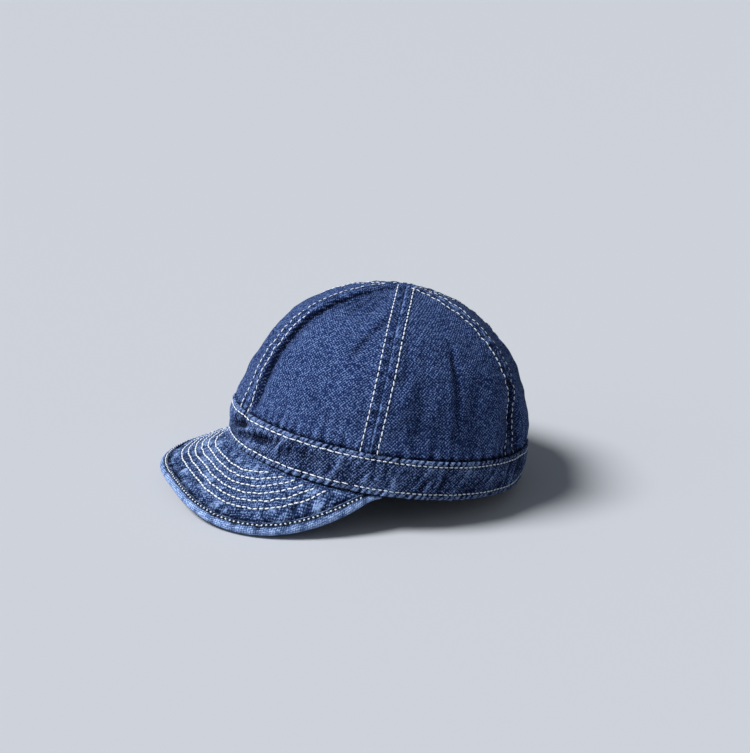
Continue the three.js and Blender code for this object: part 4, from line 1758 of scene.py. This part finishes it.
@dataclass
class Binding:
    """Tape folded over the brim's free edge, sewn through near its own edge."""

    stations: int = 461
    crowding: float = 0.45
    width: float = 5.0
    wall: float = 0.85
    ease: float = 0.3
    tail: float = 0.0
    steps: tuple[int, int] = (8, 16)
    mean_radius: float = 95.0
    # Relief
    groove: Line = Line(3.9, 0.6, 0.4)
    edge_press: float = 0.25
    pressed_from: float = 4.5
    tucked_in: float = 1.7
    waves: Ripples = Ripples(3.5, 9.0, 71, (1.0, 2.0))
    pucker: float = 0.12
    # Wear, and painted shade in the stitch groove and the valleys
    weave_scale: float = 0.9
    edge_wear: Line = Line(4.85, 0.4)
    nose_wear: Line = Line(0.0, 1.6, 0.3)
    crest_wear: float = 0.9
    # painted shade in the stitch groove and in the pucker valleys
    groove_shade: Line = Line(3.9, 1.05, 1.3)
    valley_shade: float = 1.5
    # Stitches
    row_points: int = 1500
    stitched_from: float = 0.4
    stitch: StitchStyle = StitchStyle(2.75, 1.4, width=1.1, thickness=0.7, arch=0.36, wander=0.22)

    @property
    def half_stack(self) -> float:
        """Depth of the middle between the two plies."""
        return BRIM_FORM.ply + BRIM_FORM.gap / 2.0

    @property
    def radius(self) -> float:
        """Radius of the tape's right side where it is folded."""
        return self.half_stack + self.ease + self.wall

    def section(self, radius: float, flats: int, bends: int) -> tuple[Array, Array]:
        """Inset and height from the middle of a hairpin: two flats joined by a half circle.

        Args:
            radius: radius of the half circle.
            flats: steps along each flat.
            bends: steps round the half circle.

        Returns:
            The inset from the outline, and the height over the middle, of each point.
        """
        turn = np.linspace(np.pi / 2, -np.pi / 2, bends + 1)[1:-1]
        flat = np.linspace(self.width, self.radius, flats + 1)
        inset = np.concatenate([flat, self.radius - radius * np.cos(turn), flat[::-1]])
        up = np.ones_like(flat)
        return inset, radius * np.concatenate([up, np.sin(turn), -up])

    def pressed(self, inset: Array) -> Array:
        """How far the tape is pressed in by its stitches and at its own edge."""
        return self.groove.at(inset) + self.edge_press * ramp(inset, self.pressed_from, self.width)

    def sweep(self, theta: Array, inset: Array, height: Array) -> Array:
        """Carries a section along the brim's outline, drawn in under the band at both ends."""
        drawn = self.tucked_in * BRIM_FORM.at_end(theta) ** 3
        out = BRIM_FORM.reach(theta) - inset / BRIM_FORM.slant(theta) - drawn
        return BRIM_FORM.point(theta, out, self.half_stack - height)

    def build(self, finishes: Finishes) -> None:
        """Builds the tape and sews one row near its edge, on both sides of the brim."""
        theta = BRIM_FORM.stations(self.tail, self.stations, self.crowding)[:, None]
        inset, height = self.section(self.radius, *self.steps)
        thinned = (steps // INNER_THINNING for steps in self.steps)
        inner = self.sweep(theta, *self.section(self.half_stack + self.ease, *thinned))
        along = theta * self.mean_radius
        over = np.cumsum(np.hypot(np.diff(inset, prepend=inset[0]), np.diff(height, prepend=height[0])))
        waves = self.pucker * self.waves.at(along, over)
        swell = height * (1.0 + waves / self.radius) - np.sign(height) * self.pressed(inset)
        outer = self.sweep(theta, inset, swell)
        weave = self.weave_scale * np.stack([along + over, along - over], axis=-1)
        rubbed = self.edge_wear.at(inset) + self.nose_wear.at(inset)
        rubbed = rubbed + self.crest_wear * np.maximum(waves, 0.0)
        shaded = self.groove_shade.at(inset) + self.valley_shade * np.maximum(-waves, 0.0)
        wall = ClothWall(outer, inner, weave, rubbed, shaded)
        settle_piece(wall.make("edge_tape", finishes), Slot.TAPE, "brim_binding")
        work = Needlework("tape_stitches", 72)
        theta = np.linspace(theta[0, 0], theta[-1, 0], self.row_points)
        out = BRIM_FORM.reach(theta) - self.groove.place / BRIM_FORM.slant(theta)
        shown = out > self.stitched_from
        theta, out = theta[shown], out[shown]
        up = BRIM_FORM.normal(theta, out)
        height = self.radius - self.pressed(self.groove.place)
        for side in (1.0, -1.0):
            path = BRIM_FORM.point(theta, out, self.half_stack - side * height)
            work.add(path, side * up, self.stitch)
        work.finish(finishes.thread)


@dataclass(frozen=True)
class Viewpoint:
    """Where the camera stands in the cap's own frame, and what its picture shows.

    Args:
        azimuth: turn of the view from the front towards the wearer's left, in degrees.
        elevation: height of the view over the band's plane, in degrees.
        roll: turn of the picture, in degrees.
        right, down: place of the cap's origin in the picture, in millimetres.
        distance: distance of the origin along the view, in millimetres.
        pixels_per_mm: scale of the picture at that distance.
        picture_height: height of the picture, in pixels.
        farthest: how far the camera sees, in metres.
    """

    azimuth: float = 60.48
    elevation: float = 12.81
    roll: float = 10.16
    right: float = 0.96
    down: float = 48.21
    distance: float = 850.57
    pixels_per_mm: float = 1.5375
    picture_height: float = 753.0
    farthest: float = 100.0

    def axes(self) -> Array:
        """Rows that point right, down and along the view, in the cap's own frame."""
        azimuth, elevation, roll = np.radians((self.azimuth, self.elevation, self.roll))
        level = np.array([np.sin(azimuth), -np.cos(azimuth), 0.0])
        view = -(level * np.cos(elevation) + np.array([0.0, 0.0, np.sin(elevation)]))
        right = np.cross(view, [0.0, 0.0, 1.0])
        right /= np.linalg.norm(right)
        down = np.cross(view, right)
        cosine, sine = np.cos(roll), np.sin(roll)
        return np.array([cosine * right - sine * down, sine * right + cosine * down, view])

    def camera(self) -> bpy.types.Object:
        """Makes the scene's camera, carried to the table with the cap."""
        axes = self.axes()
        data = bpy.data.cameras.new("camera")
        focal = self.pixels_per_mm * self.distance
        data.lens = focal * data.sensor_width / self.picture_height
        data.clip_end = self.farthest
        camera = bpy.data.objects.new("camera", data)
        turned = RESTING.turn() @ np.array([axes[0], -axes[1], -axes[2]]).T
        place = RESTING.carry(-axes.T @ np.array([self.right, self.down, self.distance]))
        camera.matrix_world = Matrix.Translation(Vector(place)) @ Matrix(turned.tolist()).to_4x4()
        bpy.context.scene.collection.objects.link(camera)
        bpy.context.scene.camera = camera
        return camera


@dataclass(frozen=True)
class SoftLight:
    """A large far studio light.

    Args:
        name: the light's name.
        right, up, towards: its direction as seen by the camera.
        width: how wide it looks, in degrees.
        strength: its strength.
    """

    name: str
    right: float
    up: float
    towards: float
    width: float
    strength: float


@dataclass(frozen=True)
class Studio:
    """A plain pale floor, soft lights and an even surround.

    Args:
        floor_half: half-size of the floor, in metres.
        floor_colour, floor_roughness, floor_specular: look of the floor.
        surround_colour, surround: colour and strength of the surround.
        lights: the soft lights.
    """

    floor_half: float = 40.0
    floor_colour: Colour = (0.50, 0.52, 0.56)
    floor_roughness: float = 0.95
    floor_specular: float = 0.1
    surround_colour: Colour = (0.80, 0.89, 1.0)
    surround: float = 0.17
    lights: tuple[SoftLight, ...] = (
        SoftLight("key", -0.60, 0.72, 0.42, 22.0, 4.4),
        SoftLight("low light", -0.85, 0.05, 0.50, 50.0, 0.45),
        SoftLight("fill", 0.8, 0.25, 0.54, 60.0, 0.1),
    )

    def build(self, camera: bpy.types.Object) -> None:
        """Makes the floor, the surround and the lights."""
        scene = bpy.context.scene
        scene.view_settings.view_transform = "Standard"
        half = self.floor_half
        corners = (-half, -half, 0.0), (half, -half, 0.0), (half, half, 0.0), (-half, half, 0.0)
        mesh = bpy.data.meshes.new("floor")
        mesh.from_pydata(corners, [], [(0, 1, 2, 3)])
        colour = (*self.floor_colour, 1.0)
        paint = NodeSheet("floor paint").finish(colour, self.floor_roughness, self.floor_specular)
        mesh.materials.append(paint)
        floor = bpy.data.objects.new("floor", mesh)
        scene.collection.objects.link(floor)
        scene.world = bpy.data.worlds.new("surround")
        scene.world.use_nodes = True
        background = scene.world.node_tree.nodes["Background"]
        background.inputs["Color"].default_value = (*self.surround_colour, 1.0)
        background.inputs["Strength"].default_value = self.surround
        for light in self.lights:
            self.place_light(light, camera)

    @staticmethod
    def place_light(light: SoftLight, camera: bpy.types.Object) -> None:
        """Hangs a light in a direction given by the camera's axes, shining back along it."""
        turn = camera.matrix_world.to_3x3()
        direction = (turn @ Vector((light.right, light.up, light.towards))).normalized()
        data = bpy.data.lights.new(light.name, "SUN")
        data.angle = np.radians(light.width)
        data.energy = light.strength
        lamp = bpy.data.objects.new(light.name, data)
        lamp.location = direction
        lamp.rotation_euler = direction.to_track_quat("Z", "Y").to_euler()
        bpy.context.scene.collection.objects.link(lamp)


def main() -> None:
    """Builds the cap's pieces, the camera and the studio."""
    logging.basicConfig(level=logging.INFO, format="%(message)s")
    Studio().build(Viewpoint().camera())
    reverse, thread = REVERSE_DENIM.material(), THREAD.material()
    parts = (Crown(), CROWN_DENIM), (Band(), BAND_DENIM), (Brim(), BRIM_DENIM), (Binding(), TAPE_DENIM)
    for part, denim in parts:
        part.build(Finishes(denim.material(), reverse, thread))


if __name__ == "__main__":
    main()
